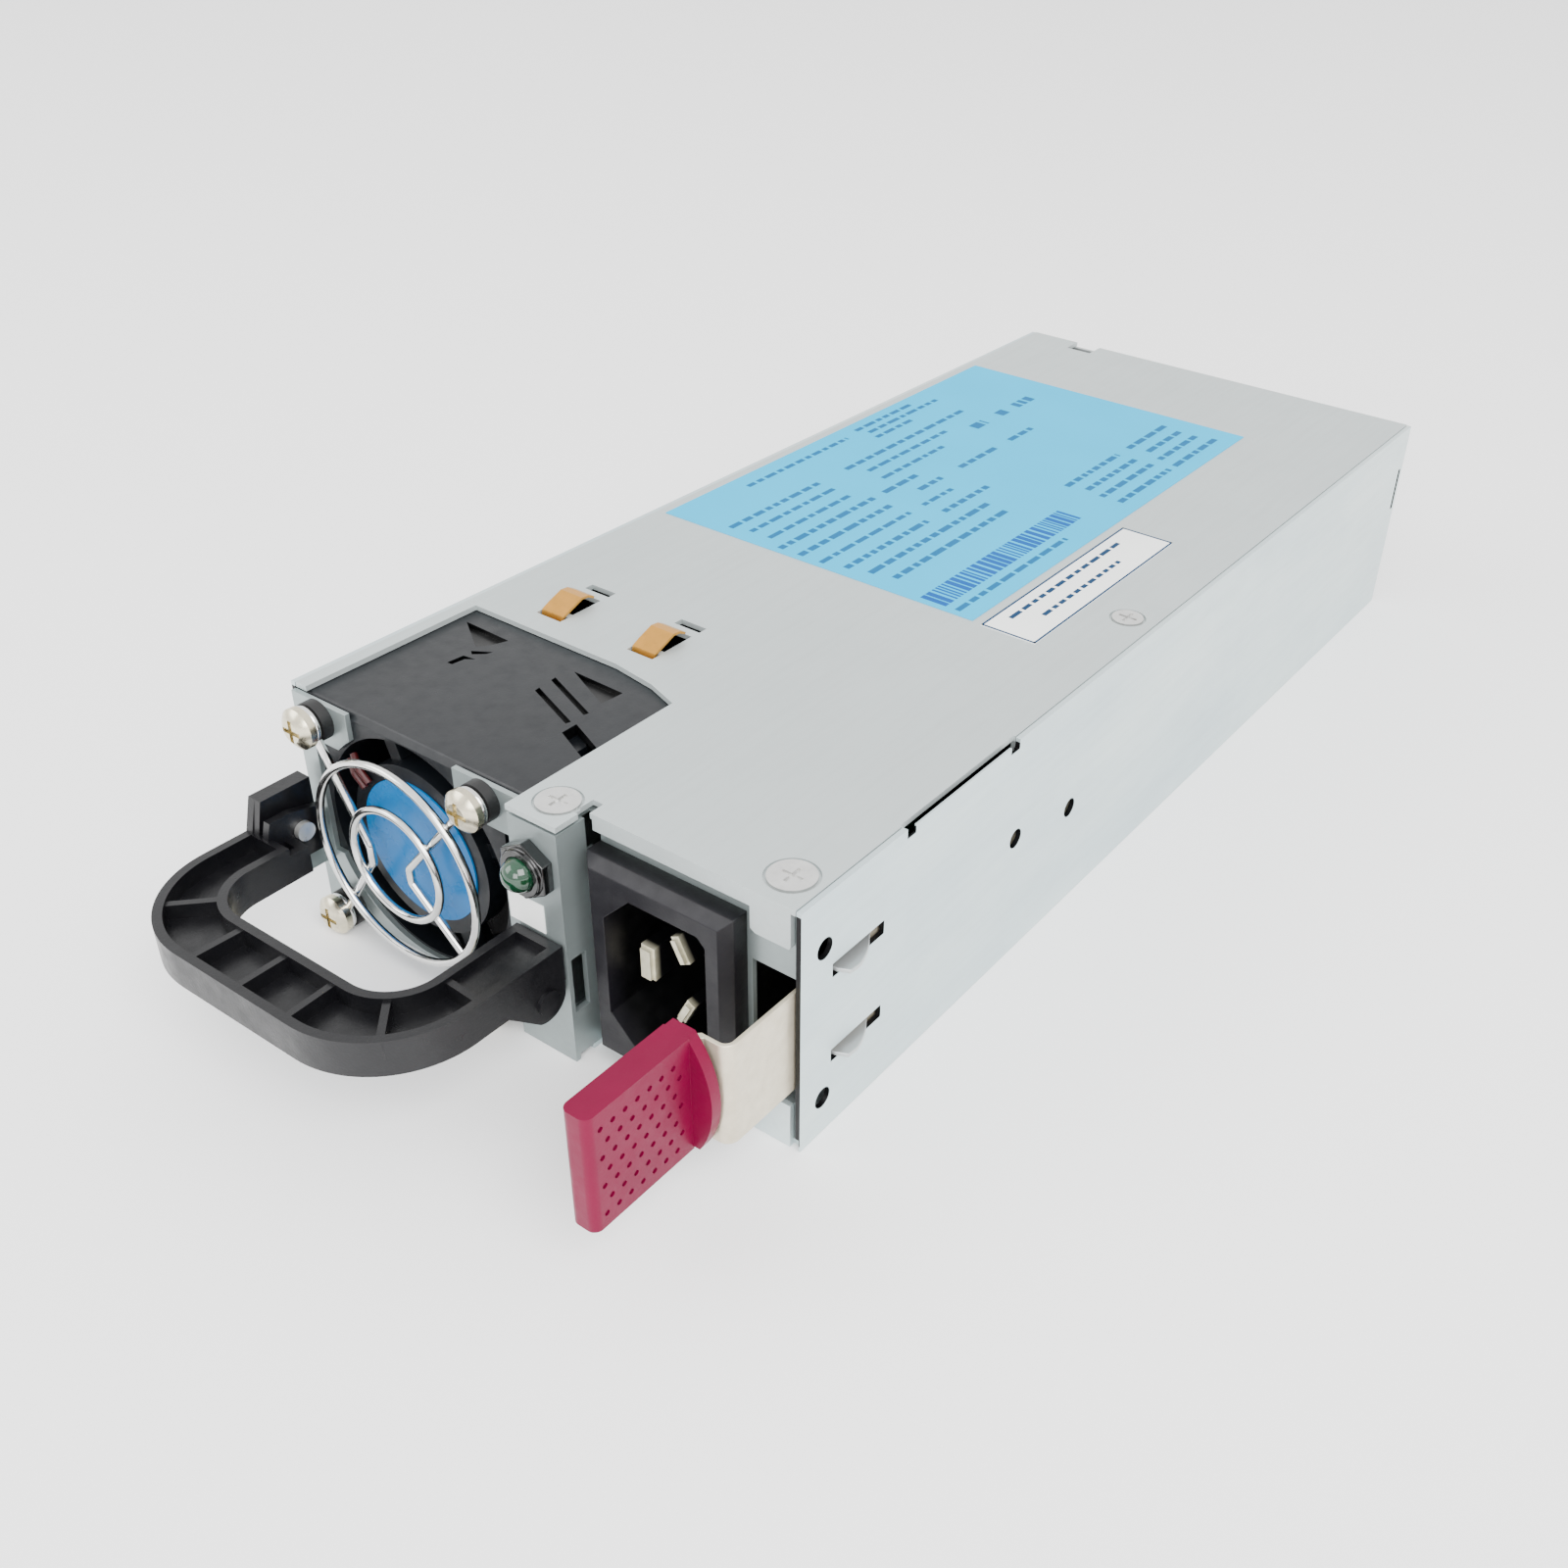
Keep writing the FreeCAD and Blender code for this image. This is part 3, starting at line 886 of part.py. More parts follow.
fins = [box("primary_base", 14.0, 38.5, yf(66.0), yf(69.0), BT, BT + 26)] + [box("primary_fin_%d" % i, 15.0 + i * 4.4, 16.4 + i * 4.4, yf(68.9), yf(79.0), BT + 2, BT + 26) for i in range(6)]
node("primary_heatsink", fuse("primary_heatsink", *fins))
node("primary_transistors", group("primary_transistors", *[box("primary_transistor_%d" % i, -0.5, 4.0, yf(62.0 + 17.5 * i), yf(77.5 + 17.5 * i), BT + 2, BT + 23) for i in range(2)]))
node("primary_spreader", fuse("primary_spreader", box("spreader_plate", 4.0, 6.5, yf(58.0), yf(100.0), BT, BT + 27), box("spreader_lip", 4.0, 11.5, yf(58.0), yf(100.0), BT + 25, BT + 27)))
pfc = torus("pfc_core", -14.0, yf(57.5), BT + 11.6, 7.2, 4.0, "y")
node("pfc_choke", fuse("pfc_choke", pfc, box("pfc_base", -22.0, -6.0, yf(53.8), yf(61.2), BT, BT + 2.2)))
can = cyl("can", -21.0, yf(64.5), BT + 13.1, 13.0, 48.0, "y")
node("bulk_capacitor", cut("bulk_capacitor", can, cut("can_groove", cyl("can_groove_out", -21.0, yf(68.0), BT + 13.1, 14.0, 1.4, "y"), cyl("can_groove_in", -21.0, yf(67.0), BT + 13.1, 12.3, 4.0, "y"))))
leg = [box("core_side_a", 12.0, 17.0, yf(104.0), yf(132.0), BT, BT + 26), box("core_side_b", 33.0, 38.0, yf(104.0), yf(132.0), BT, BT + 26),
       box("core_front", 12.0, 38.0, yf(104.0), yf(109.0), BT, BT + 26), box("core_back", 12.0, 38.0, yf(127.0), yf(132.0), BT, BT + 26),
       cyl("core_leg", 25.0, yf(108.9), BT + 13, 4.0, 18.2, "y")]
node("transformer_core", fuse("transformer_core", *leg))
node("transformer_winding", cut("transformer_winding", cyl("winding_out", 25.0, yf(109.0), BT + 13, 7.6, 18.0, "y"), cyl("winding_in", 25.0, yf(108.0), BT + 13, 4.0, 22.0, "y")))
node("standby_transformer", box("standby_transformer", 20.0, 36.0, yf(84.0), yf(99.0), BT, BT + 14))
oc = torus("output_core", 24.5, yf(146.0), BT + 11.4, 7.0, 4.0, "y")
node("output_choke", fuse("output_choke", oc, box("output_base", 16.5, 32.5, yf(142.4), yf(149.6), BT, BT + 2.2)))
caps = [cyl("output_capacitor_%d" % i, -33.0 + 11.6 * (i % 4), yf(166.0 + 11.6 * (i // 4)), BT, 5.0, 19.0) for i in range(8)]
node("output_capacitors", group("output_capacitors", *caps))
sink = [box("secondary_base", 4.0, 7.0, yf(112.0), yf(158.0), BT, BT + 26)] + [box("secondary_fin_%d" % i, -3.0, 4.1, yf(113.0 + i * 7.2), yf(114.4 + i * 7.2), BT + 4, BT + 26) for i in range(7)]
node("secondary_heatsink", fuse("secondary_heatsink", *sink))
node("secondary_transistors", group("secondary_transistors", *[box("secondary_transistor_%d" % i, 7.0, 10.6, yf(134.5 + i * 8.0), yf(141.0 + i * 8.0), BT + 2, BT + 15) for i in range(3)]))
node("output_busbars", group("output_busbars", box("busbar_a", -31.0, -11.0, yf(187.0), yf(190.0), BT, BT + 3.4), box("busbar_b", -4.0, 14.0, yf(187.0), yf(190.0), BT, BT + 3.4)))
cb = [box("control_card", -39.6, -38.0, yf(120.0), yf(160.0), BT, BT + 25)]
cb += [box("control_chip_%d" % i, -38.05, -36.6, yf(126.0 + 10 * i), yf(132.0 + 10 * i), BT + 8, BT + 15) for i in range(3)]
node("control_board", fuse("control_board", *cb))

# ------------------------------------------------------------------- checks
doc.recompute()
bad = []
for o in doc.Objects:
    if "Invalid" in o.State or "Error" in o.State:
        bad.append("%s %s" % (o.Name, o.State))
for label, o in NODES.items():
    s = o.Shape
    if s.isNull() or not s.isValid() or s.Volume <= 0:
        bad.append("shape of %s" % label)
    if o.Label != label:
        bad.append("label of %s is %s" % (label, o.Label))
if bad:
    raise RuntimeError("; ".join(bad))
os.makedirs("parts", exist_ok=True)
for label, o in NODES.items():
    o.Shape.exportStep("parts/%s.step" % label)
print("%d parts written" % len(NODES))
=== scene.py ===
import json
import math
import random

import bmesh
import bpy
from mathutils import Matrix, Vector


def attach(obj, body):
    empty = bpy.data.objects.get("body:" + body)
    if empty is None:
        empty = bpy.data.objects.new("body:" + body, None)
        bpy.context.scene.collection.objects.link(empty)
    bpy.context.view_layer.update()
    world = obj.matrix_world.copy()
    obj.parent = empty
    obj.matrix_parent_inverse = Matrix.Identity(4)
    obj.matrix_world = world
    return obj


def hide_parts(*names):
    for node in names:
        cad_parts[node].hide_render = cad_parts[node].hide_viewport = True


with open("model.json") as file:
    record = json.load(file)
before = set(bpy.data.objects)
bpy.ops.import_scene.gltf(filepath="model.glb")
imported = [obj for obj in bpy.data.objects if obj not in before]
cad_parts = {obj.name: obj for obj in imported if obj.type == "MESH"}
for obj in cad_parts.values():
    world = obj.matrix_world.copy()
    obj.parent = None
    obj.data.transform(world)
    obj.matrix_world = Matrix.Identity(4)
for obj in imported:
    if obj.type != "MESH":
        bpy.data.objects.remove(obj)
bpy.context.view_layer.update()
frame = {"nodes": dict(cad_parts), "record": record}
NODES = frame["nodes"]
scene = bpy.context.scene
MM = 0.001
YF = -97.75  # front lip of the case along Y, in millimetres

# ------------------------------------------------------------------ materials


def lin(r, g, b):
    def f(c):
        c = c / 255.0
        return c / 12.92 if c <= 0.04045 else ((c + 0.055) / 1.055) ** 2.4
    return (f(r), f(g), f(b), 1.0)


def shade(c, k):
    return (min(c[0] * k, 1), min(c[1] * k, 1), min(c[2] * k, 1), 1.0)


class Mat:
    """A principled material with helpers for the noise, bump and mixes it is built from."""

    def __init__(self, name):
        self.m = bpy.data.materials.new(name)
        self.m.use_nodes = True
        self.nt = self.m.node_tree
        self.n = self.nt.nodes
        self.l = self.nt.links
        self.b = self.n["Principled BSDF"]
        self.tc = self.n.new("ShaderNodeTexCoord")

    def coords(self, scale=(1, 1, 1), rot=(0, 0, 0)):
        mp = self.n.new("ShaderNodeMapping")
        mp.inputs["Scale"].default_value = scale
        mp.inputs["Rotation"].default_value = rot
        self.l.new(self.tc.outputs["Object"], mp.inputs["Vector"])
        return mp.outputs["Vector"]

    def noise(self, scale, detail=4, rough=0.55, stretch=(1, 1, 1), rot=(0, 0, 0)):
        t = self.n.new("ShaderNodeTexNoise")
        t.inputs["Scale"].default_value = scale
        t.inputs["Detail"].default_value = detail
        t.inputs["Roughness"].default_value = rough
        self.l.new(self.coords(stretch, rot), t.inputs["Vector"])
        return t.outputs["Fac"]

    def cells(self, scale, feature="F1", stretch=(1, 1, 1)):
        t = self.n.new("ShaderNodeTexVoronoi")
        t.feature = feature
        t.inputs["Scale"].default_value = scale
        self.l.new(self.coords(stretch), t.inputs["Vector"])
        return t

    def span(self, v, lo, hi, a=0.3, b=0.7):
        r = self.n.new("ShaderNodeMapRange")
        r.inputs["From Min"].default_value = a
        r.inputs["From Max"].default_value = b
        r.inputs["To Min"].default_value = lo
        r.inputs["To Max"].default_value = hi
        self.l.new(v, r.inputs["Value"])
        return r.outputs["Result"]

    def mix(self, fac, a, b, mode="MIX"):
        x = self.n.new("ShaderNodeMix")
        x.data_type = "RGBA"
        x.blend_type = mode
        if isinstance(fac, (int, float)):
            x.inputs[0].default_value = fac
        else:
            self.l.new(fac, x.inputs[0])
        for s, v in ((6, a), (7, b)):
            if isinstance(v, tuple):
                x.inputs[s].default_value = v
            else:
                self.l.new(v, x.inputs[s])
        return x.outputs[2]

    def math(self, op, a, b=0.0):
        x = self.n.new("ShaderNodeMath")
        x.operation = op
        for s, v in ((0, a), (1, b)):
            if isinstance(v, (int, float)):
                x.inputs[s].default_value = v
            else:
                self.l.new(v, x.inputs[s])
        return x.outputs[0]

    def bump(self, height, strength=0.2, dist=0.0001):
        x = self.n.new("ShaderNodeBump")
        x.inputs["Strength"].default_value = strength
        x.inputs["Distance"].default_value = dist
        if hasattr(self, "last_bump"):
            self.l.new(self.last_bump, x.inputs["Normal"])
        self.l.new(height, x.inputs["Height"])
        self.last_bump = x.outputs["Normal"]
        self.l.new(self.last_bump, self.b.inputs["Normal"])

    def box_mask(self, **lim):
        """1 inside the given limits (millimetres, Y from the front lip), 0 outside; ax is |X|."""
        sep = self.n.new("ShaderNodeSeparateXYZ")
        self.l.new(self.tc.outputs["Object"], sep.inputs["Vector"])
        out = None
        for key, v in lim.items():
            axis, side = key.split("_")
            src = sep.outputs[{"x": 0, "ax": 0, "y": 1, "z": 2}[axis]]
            if axis == "ax":
                src = self.math("ABSOLUTE", src)
            edge = (v + (YF if axis == "y" else 0.0)) * MM
            t = self.math("GREATER_THAN" if side == "lo" else "LESS_THAN", src, edge)
            out = t if out is None else self.math("MULTIPLY", out, t)
        return out

    def ramp_y(self, y0, y1):
        sep = self.n.new("ShaderNodeSeparateXYZ")
        self.l.new(self.tc.outputs["Object"], sep.inputs["Vector"])
        return self.span(sep.outputs[1], 0.0, 1.0, (y0 + YF) * MM, (y1 + YF) * MM)

    def color(self, v):
        if isinstance(v, tuple):
            self.b.inputs["Base Color"].default_value = v
        else:
            self.l.new(v, self.b.inputs["Base Color"])

    def rough(self, v):
        if isinstance(v, (int, float)):
            self.b.inputs["Roughness"].default_value = v
        else:
            self.l.new(v, self.b.inputs["Roughness"])

    def set(self, **kw):
        for k, v in kw.items():
            self.b.inputs[k.replace("_", " ")].default_value = v
        return self


def plastic(name, col, rough=0.45, var=0.10, grain=0.25, grain_scale=2600, dust=0.0, spec=0.5, coat=0.0, painted_depth_shade=None, painted_pocket_shade=None):
    k = Mat(name)
    n = k.noise(90, 5)
    c = k.mix(k.span(n, 0, 1), shade(col, 1 - var), shade(col, 1 + var))
    # painted shade: the colour goes near black towards the back along Y, over the given span in millimetres
    if painted_depth_shade:
        c = k.mix(k.ramp_y(*painted_depth_shade), c, shade(col, 0.12))
    # painted shade: near black inside the given box, used for the deck's pocket floors
    if painted_pocket_shade:
        c = k.mix(k.box_mask(**painted_pocket_shade), c, shade(col, 0.08))
    if dust:
        d = k.noise(260, 6, 0.7)
        c = k.mix(k.span(d, 0, dust, 0.5, 0.75), c, lin(150, 150, 150))
    k.color(c)
    k.rough(k.span(k.noise(400, 4), rough - 0.07, rough + 0.09))
    k.bump(k.noise(grain_scale, 3, 0.6), grain, 0.00006)
    k.set(Specular_IOR_Level=spec)
    if coat:
        k.set(Coat_Weight=coat, Coat_Roughness=0.12)
    return k.m


def sheet_metal(name, col, rough=0.38, metal=0.8, streak=(1, 1, 1), smudge=0.12, spangle=0.05, tint=None, painted_edge_shade=False):
    """Zinc-coated sheet: faint crystal patches, cloudy handling marks, hairline rolling grain."""
    k = Mat(name)
    cell = k.cells(170)
    grain = k.span(cell.outputs["Color"], 0, 1, 0.0, 1.0)
    c = k.mix(grain, shade(col, 1 - spangle), shade(col, 1 + spangle))
    cloud = k.noise(38, 6, 0.6, streak)
    c = k.mix(k.span(cloud, 0, 1, 0.35, 0.68), c, k.mix(0.5, c, tint or shade(col, 1 - smudge)))
    fine = k.noise(900, 3, 0.5, (1, 0.06, 1))
    c = k.mix(k.span(fine, 0, 0.10, 0.45, 0.7), c, shade(col, 0.72))
    if painted_edge_shade:
        # raw cut edges of the side walls are dark
        # painted shade: faces of the side walls lying 42.36 to 43.14 mm out from the centre (their front edges, slot
        # sides and inner face) are painted near black
        c = k.mix(k.box_mask(ax_lo=42.36, ax_hi=43.14, z_lo=0.9, z_hi=37.3), c, (0.006, 0.006, 0.007, 1.0))
    k.color(c)
    r = k.math("ADD", k.span(cloud, rough - 0.05, rough + 0.10, 0.3, 0.7), k.span(fine, -0.03, 0.04, 0.3, 0.7))
    k.rough(r)
    k.bump(k.noise(24, 2, 0.5), 0.12, 0.0004)
    k.bump(fine, 0.05, 0.00004)
    k.set(Metallic=metal)
    return k.m


def metal(name, col, rough=0.2, var=0.06, metallic=1.0, wear=0.1):
    k = Mat(name)
    n = k.noise(600, 5)
    c = k.mix(k.span(n, 0, 1), shade(col, 1 - var), shade(col, 1 + var))
    c = k.mix(k.span(k.noise(1500, 4, 0.6), 0, wear, 0.5, 0.75), c, shade(col, 0.35))
    k.color(c)
    k.rough(k.span(n, max(rough - 0.06, 0.03), rough + 0.10))
    k.bump(k.noise(2200, 3), 0.06, 0.00004)
    k.set(Metallic=metallic)
    return k.m


def film(name, col, rough=0.42, var=0.03, spec=0.45):
    k = Mat(name)
    n = k.noise(60, 5)
    k.color(k.mix(k.span(n, 0, 1), shade(col, 1 - var), shade(col, 1 + var)))
    k.rough(k.span(k.noise(240, 4), rough - 0.05, rough + 0.08))
    k.bump(k.noise(300, 3, 0.5), 0.05, 0.0001)
    k.set(Specular_IOR_Level=spec)
    return k.m


M = {}
# painted light: lit and shaded copies of one zinc sheet; the side walls are painted lighter, the front panel and fan
# plate darker, with the top cover and rear panel between
M["top"] = sheet_metal("zinc_sheet_top", lin(184, 192, 192), rough=0.46, metal=0.55, smudge=0.06, spangle=0.012)
M["wall"] = sheet_metal("zinc_sheet_wall_painted_light", lin(200, 212, 212), rough=0.40, metal=0.60, streak=(1, 0.5, 1.5), smudge=0.12, spangle=0.02,
                        tint=lin(172, 190, 198), painted_edge_shade=True)
M["front"] = sheet_metal("zinc_sheet_front_painted_shade", lin(150, 160, 160), rough=0.34, metal=0.7, smudge=0.14, spangle=0.03)
M["rear"] = sheet_metal("zinc_sheet_rear", lin(184, 190, 190), rough=0.38, metal=0.65, smudge=0.12, spangle=0.03)
M["charcoal"] = plastic("charcoal_nylon", lin(11, 11, 14), rough=0.34, var=0.14, grain=0.40, dust=0.01, spec=0.38)
# the bezel is painted darker towards the back of its recess as shade
M["bezel"] = plastic("bezel_plastic", lin(17, 16, 21), rough=0.42, var=0.12, grain=0.30, dust=0.01, spec=0.3, painted_depth_shade=(-2.6, 0.5))
# the deck's pocket floors are painted near black as shade
M["deck"] = plastic("fan_plastic", lin(12, 15, 19), rough=0.34, var=0.12, grain=0.16, dust=0.01, spec=0.32,
                    painted_pocket_shade={"z_lo": 35.4, "z_hi": 37.03, "y_lo": 1.0})
M["rotor"] = plastic("rotor_plastic", lin(9, 9, 11), rough=0.30, var=0.10, grain=0.12)
M["tab"] = plastic("maroon_plastic", lin(100, 0, 42), rough=0.38, var=0.10, grain=0.25, spec=0.16)
k = Mat("satin_spring_steel")
c = k.mix(k.span(k.noise(500, 5), 0, 1), lin(198, 188, 166), lin(212, 203, 182))
# painted shade: faces beyond 42.14 mm in X (the strip's outer face against the right wall, seen through the slots) are
# painted greyer and darker
k.color(k.mix(k.box_mask(x_lo=42.14), c, lin(176, 180, 180)))
k.rough(k.span(k.noise(600, 4), 0.30, 0.44))
k.bump(k.noise(2200, 3), 0.05, 0.00004)
k.set(Metallic=0.6)
M["strip"] = k.m
M["chrome"] = metal("bright_wire", lin(222, 222, 220), rough=0.14, wear=0.08)
M["screw"] = metal("nickel_screw", lin(214, 206, 182), rough=0.22, wear=0.22)
M["zinc_screw"] = metal("zinc_screw", lin(208, 208, 206), rough=0.32, wear=0.12, metallic=0.85)
M["copper"] = metal("copper_spring", lin(196, 142, 62), rough=0.32, wear=0.10, metallic=0.85)
M["gold"] = metal("gold_contact", lin(236, 196, 100), rough=0.22, wear=0.05)
k = Mat("blade_metal")
# painted shade: the blades go near black towards the back of the socket, from 1.5 to 2.6 mm behind the front lip
k.color(k.mix(k.ramp_y(1.5, 2.6), k.mix(k.span(k.noise(700, 4), 0, 1), lin(206, 200, 170), lin(232, 228, 204)), (0.004, 0.004, 0.005, 1.0)))
k.rough(0.34)
k.set(Metallic=0.35)
M["blade"] = k.m
M["dark_steel"] = metal("dark_steel", lin(96, 96, 100), rough=0.35, wear=0.15)
M["alu"] = metal("aluminium", lin(200, 202, 204), rough=0.36, wear=0.08)
M["rubber"] = plastic("black_rubber", lin(9, 9, 10), rough=0.5, var=0.15, grain=0.3)
M["nut"] = plastic("gloss_black", lin(7, 8, 8), rough=0.14, var=0.1, grain=0.05, coat=0.4)
M["label"] = film("cyan_film", lin(0, 172, 216), rough=0.7, spec=0.03)
M["white"] = film("white_film", lin(236, 238, 236), rough=0.45)
M["ink"] = film("dark_ink", lin(18, 52, 84), rough=0.6, spec=0.1)
M["blue_ink"] = film("blue_ink", lin(0, 92, 140), rough=0.6, spec=0.1)
M["bar_ink"] = film("bar_ink", lin(0, 78, 150), rough=0.6, spec=0.1)
M["disc"] = film("blue_disc", lin(0, 98, 158), rough=0.26, spec=0.25)
M["board"] = plastic("board_green", lin(20, 88, 52), rough=0.35, var=0.12, grain=0.1, grain_scale=1500)
M["yellow"] = plastic("yellow_tape", lin(222, 180, 60), rough=0.35, var=0.06, grain=0.1)
M["ceramic"] = plastic("blue_ceramic", lin(56, 104, 176), rough=0.3, var=0.06, grain=0.1)
M["ferrite"] = plastic("ferrite", lin(60, 58, 58), rough=0.6, var=0.15, grain=0.4)
M["winding"] = metal("enamel_wire", lin(190, 110, 60), rough=0.3, wear=0.1, metallic=0.8)
M["sleeve"] = plastic("black_sleeve", lin(34, 34, 40), rough=0.3, var=0.1, grain=0.1)
M["insul"] = film("pale_insulator", lin(226, 222, 204), rough=0.5)
M["wire"] = plastic("wire_jacket", lin(60, 6, 9), rough=0.4, var=0.1, grain=0.1)

k = Mat("green_lens")
k.color(k.mix(k.span(k.noise(500, 3), 0, 1), lin(4, 48, 28), lin(10, 70, 42)))
k.rough(0.12)
k.bump(k.noise(900, 2), 0.05, 0.00005)
k.set(Transmission_Weight=0.35, IOR=1.5, Coat_Weight=0.6, Coat_Roughness=0.05)
M["lens"] = k.m
k = Mat("clear_tube")
k.color(k.mix(k.span(k.noise(700, 3), 0, 1), lin(225, 232, 230), lin(240, 244, 242)))
k.rough(k.span(k.noise(400, 3), 0.05, 0.15))
k.set(Transmission_Weight=0.8, IOR=1.5)
M["clear"] = k.m

LOOK = {
    "lower_case": "wall", "top_cover": "top", "front_panel": "front", "fan_plate": "front", "rear_panel": "rear",
    "cover_screws": "zinc_screw", "grounding_springs": "copper", "rating_label": "label", "serial_label": "white",
    "status_label": "white", "fan_frame": "deck", "fan_hub_disc": "disc", "fan_rotor": "rotor", "fan_shaft": "dark_steel",
    "rotor_magnet": "dark_steel", "fan_motor": "winding", "fan_bearings": "dark_steel", "finger_guard": "chrome",
    "fan_isolators": "rubber", "fan_screws": "screw", "fan_leads": "wire", "led_holder": "nut", "led_lens": "lens",
    "led_board": "board", "inlet_housing": "bezel", "inlet_blades": "blade", "handle": "charcoal", "handle_pins": "zinc_screw",
    "detent_rivet": "zinc_screw", "latch_spring": "strip", "latch_root": "strip", "latch_rivets": "zinc_screw", "latch_tab": "tab",
    "main_board": "board", "edge_contacts": "gold", "insulator_sheet": "insul", "standoffs": "zinc_screw", "board_screws": "zinc_screw",
    "inlet_wires": "wire", "fuse": "clear", "x_capacitor": "yellow", "y_capacitors": "ceramic", "emi_choke": "winding",
    "inrush_relay": "sleeve", "bridge_rectifier": "sleeve", "primary_heatsink": "alu", "primary_transistors": "sleeve",
    "primary_spreader": "alu", "pfc_choke": "winding", "bulk_capacitor": "sleeve", "transformer_core": "ferrite",
    "transformer_winding": "yellow", "standby_transformer": "ferrite", "output_choke": "winding", "output_capacitors": "sleeve",
    "secondary_heatsink": "alu", "secondary_transistors": "sleeve", "output_busbars": "copper", "control_board": "board",
}
BODY = {}
for body, members in frame["record"]["behaviour"]["bodies"].items():
    for nm in members:
        BODY[nm] = body


def dress(ob, mat):
    ob.data.materials.clear()
    ob.data.materials.append(mat)


for nm, ob in NODES.items():
    dress(ob, M[LOOK[nm]])


def link(name, mesh):
    ob = bpy.data.objects.new(name, mesh)
    scene.collection.objects.link(ob)
    return ob


def refined(node, width, segs=2, angle=28, mat=None, keep_weighted=True):
    """A copy of a CAD piece with its sharp edges eased, standing for it in the looks."""
    src = NODES[node]
    bm = bmesh.new()
    bm.from_mesh(src.data)
    bmesh.ops.remove_doubles(bm, verts=bm.verts, dist=2e-6)
    bmesh.ops.dissolve_limit(bm, angle_limit=math.radians(0.6), use_dissolve_boundaries=False, verts=bm.verts, edges=bm.edges)
    me = bpy.data.meshes.new(node + "_detail")
    bm.to_mesh(me)
    bm.free()
    ob = link(node + "_detail", me)
    for p in me.polygons:
        p.use_smooth = True
    if width:
        bv = ob.modifiers.new("ease", "BEVEL")
        bv.limit_method = "ANGLE"
        bv.angle_limit = math.radians(angle)
        bv.width = width
        bv.segments = segs
        bv.use_clamp_overlap = True
        bv.harden_normals = False
        bv.miter_outer = "MITER_ARC"
        me.set_sharp_from_angle(angle=math.radians(angle + 12))
        wn = ob.modifiers.new("even", "WEIGHTED_NORMAL")
        wn.mode = "FACE_AREA"
        wn.weight = 100
        wn.keep_sharp = True
    dress(ob, mat or M[LOOK[node]])
    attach(ob, BODY[node])
    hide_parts(node)
    return ob


for nm, w in (("lower_case", 0.18), ("top_cover", 0.16), ("front_panel", 0.16), ("fan_plate", 0.14), ("handle", 0.45),
              ("inlet_housing", 0.30), ("latch_tab", 0.55), ("latch_spring", 0.14), ("fan_frame", 0.22), ("led_holder", 0.2),
              ("fan_rotor", 0.15)):
    refined(nm, w * MM, 3 if w > 0.4 else 2)

for nm, ob in NODES.items():
    if len(ob.data.polygons) and nm not in ("rating_label", "serial_label"):
        for p in ob.data.polygons:
            p.use_smooth = True
        ob.data.set_sharp_from_angle(angle=math.radians(32))

# -------------------------------------------------------- wire finger guard
FX, FZ, HP, GW = -21.25, 18.85, 15.75, 0.6


def rounded(pts, r, steps=9):
    """The path through pts with each corner turned as a round bend of radius r."""
    out = [Vector(pts[0])]
    for i in range(1, len(pts) - 1):
        p, a, b = Vector(pts[i]), Vector(pts[i - 1]), Vector(pts[i + 1])
        u, v = (a - p).normalized(), (b - p).normalized()
        half = u.angle(v) / 2
        t = min(r / math.tan(half), (a - p).length * 0.49, (b - p).length * 0.49)
        rr = t * math.tan(half)
        c = p + (u + v).normalized() * (rr / math.sin(half))
        s0, s1 = p + u * t - c, p + v * t - c
        for k in range(steps + 1):
            out.append(c + s0.slerp(s1, k / steps) if s0.length else p)
    out.append(Vector(pts[-1]))
    return out


def wire_form(name, runs, radius, mat, body, node=None):
    """Round wire bent along each run: (points in millimetres with Y from the front lip, closed)."""
    cu = bpy.data.curves.new(name, "CURVE")
    cu.dimensions = "3D"
    cu.bevel_depth = radius * MM
    cu.bevel_resolution = 5
    cu.use_fill_caps = True
    for pts, closed in runs:
        sp = cu.splines.new("POLY")
        sp.points.add(len(pts) - 1)
        for q, pt in zip(sp.points, pts):
            q.co = (pt[0] * MM, (pt[1] + YF) * MM, pt[2] * MM, 1.0)
        sp.use_cyclic_u = closed
    tmp = bpy.data.objects.new(name + "_path", cu)
    me = bpy.data.meshes.new_from_object(tmp)
    bpy.data.objects.remove(tmp)
    bpy.data.curves.remove(cu)
    me.name = name
    ob = link(name, me)
    for p in me.polygons:
        p.use_smooth = True
    dress(ob, mat)
    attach(ob, body)
    if node:
        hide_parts(node)
    return ob


def ring(cx, cy, cz, r, n=96):
    return [(cx + r * math.cos(2 * math.pi * i / n), cy, cz + r * math.sin(2 * math.pi * i / n)) for i in range(n)]


runs = [(ring(FX, -5.56, FZ, 15.2), True), (ring(FX, -5.56, FZ, 8.4, 72), True)]
for sx in (-1, 1):
    for sz in (-1, 1):
        runs.append((ring(FX + sx * HP, -4.6, FZ + sz * HP, 2.2, 40), True))
for sx, ax, at, ab in ((-1, -4.1, 0.6, -3.9), (1, -0.7, 0.6, -3.9)):
    runs.append((rounded([(FX + sx * (HP - 2.0), -4.6, FZ + HP - 1.7), (FX + ax, -4.6, FZ + at), (FX + ax, -4.6, FZ + ab),
                          (FX + sx * (HP - 2.0), -4.6, FZ - HP + 1.7)], 3.2), False))
wire_form("finger_guard_wire", runs, GW, M["chrome"], "chassis", "finger_guard")

# --------------------------------------------------------------- label prints


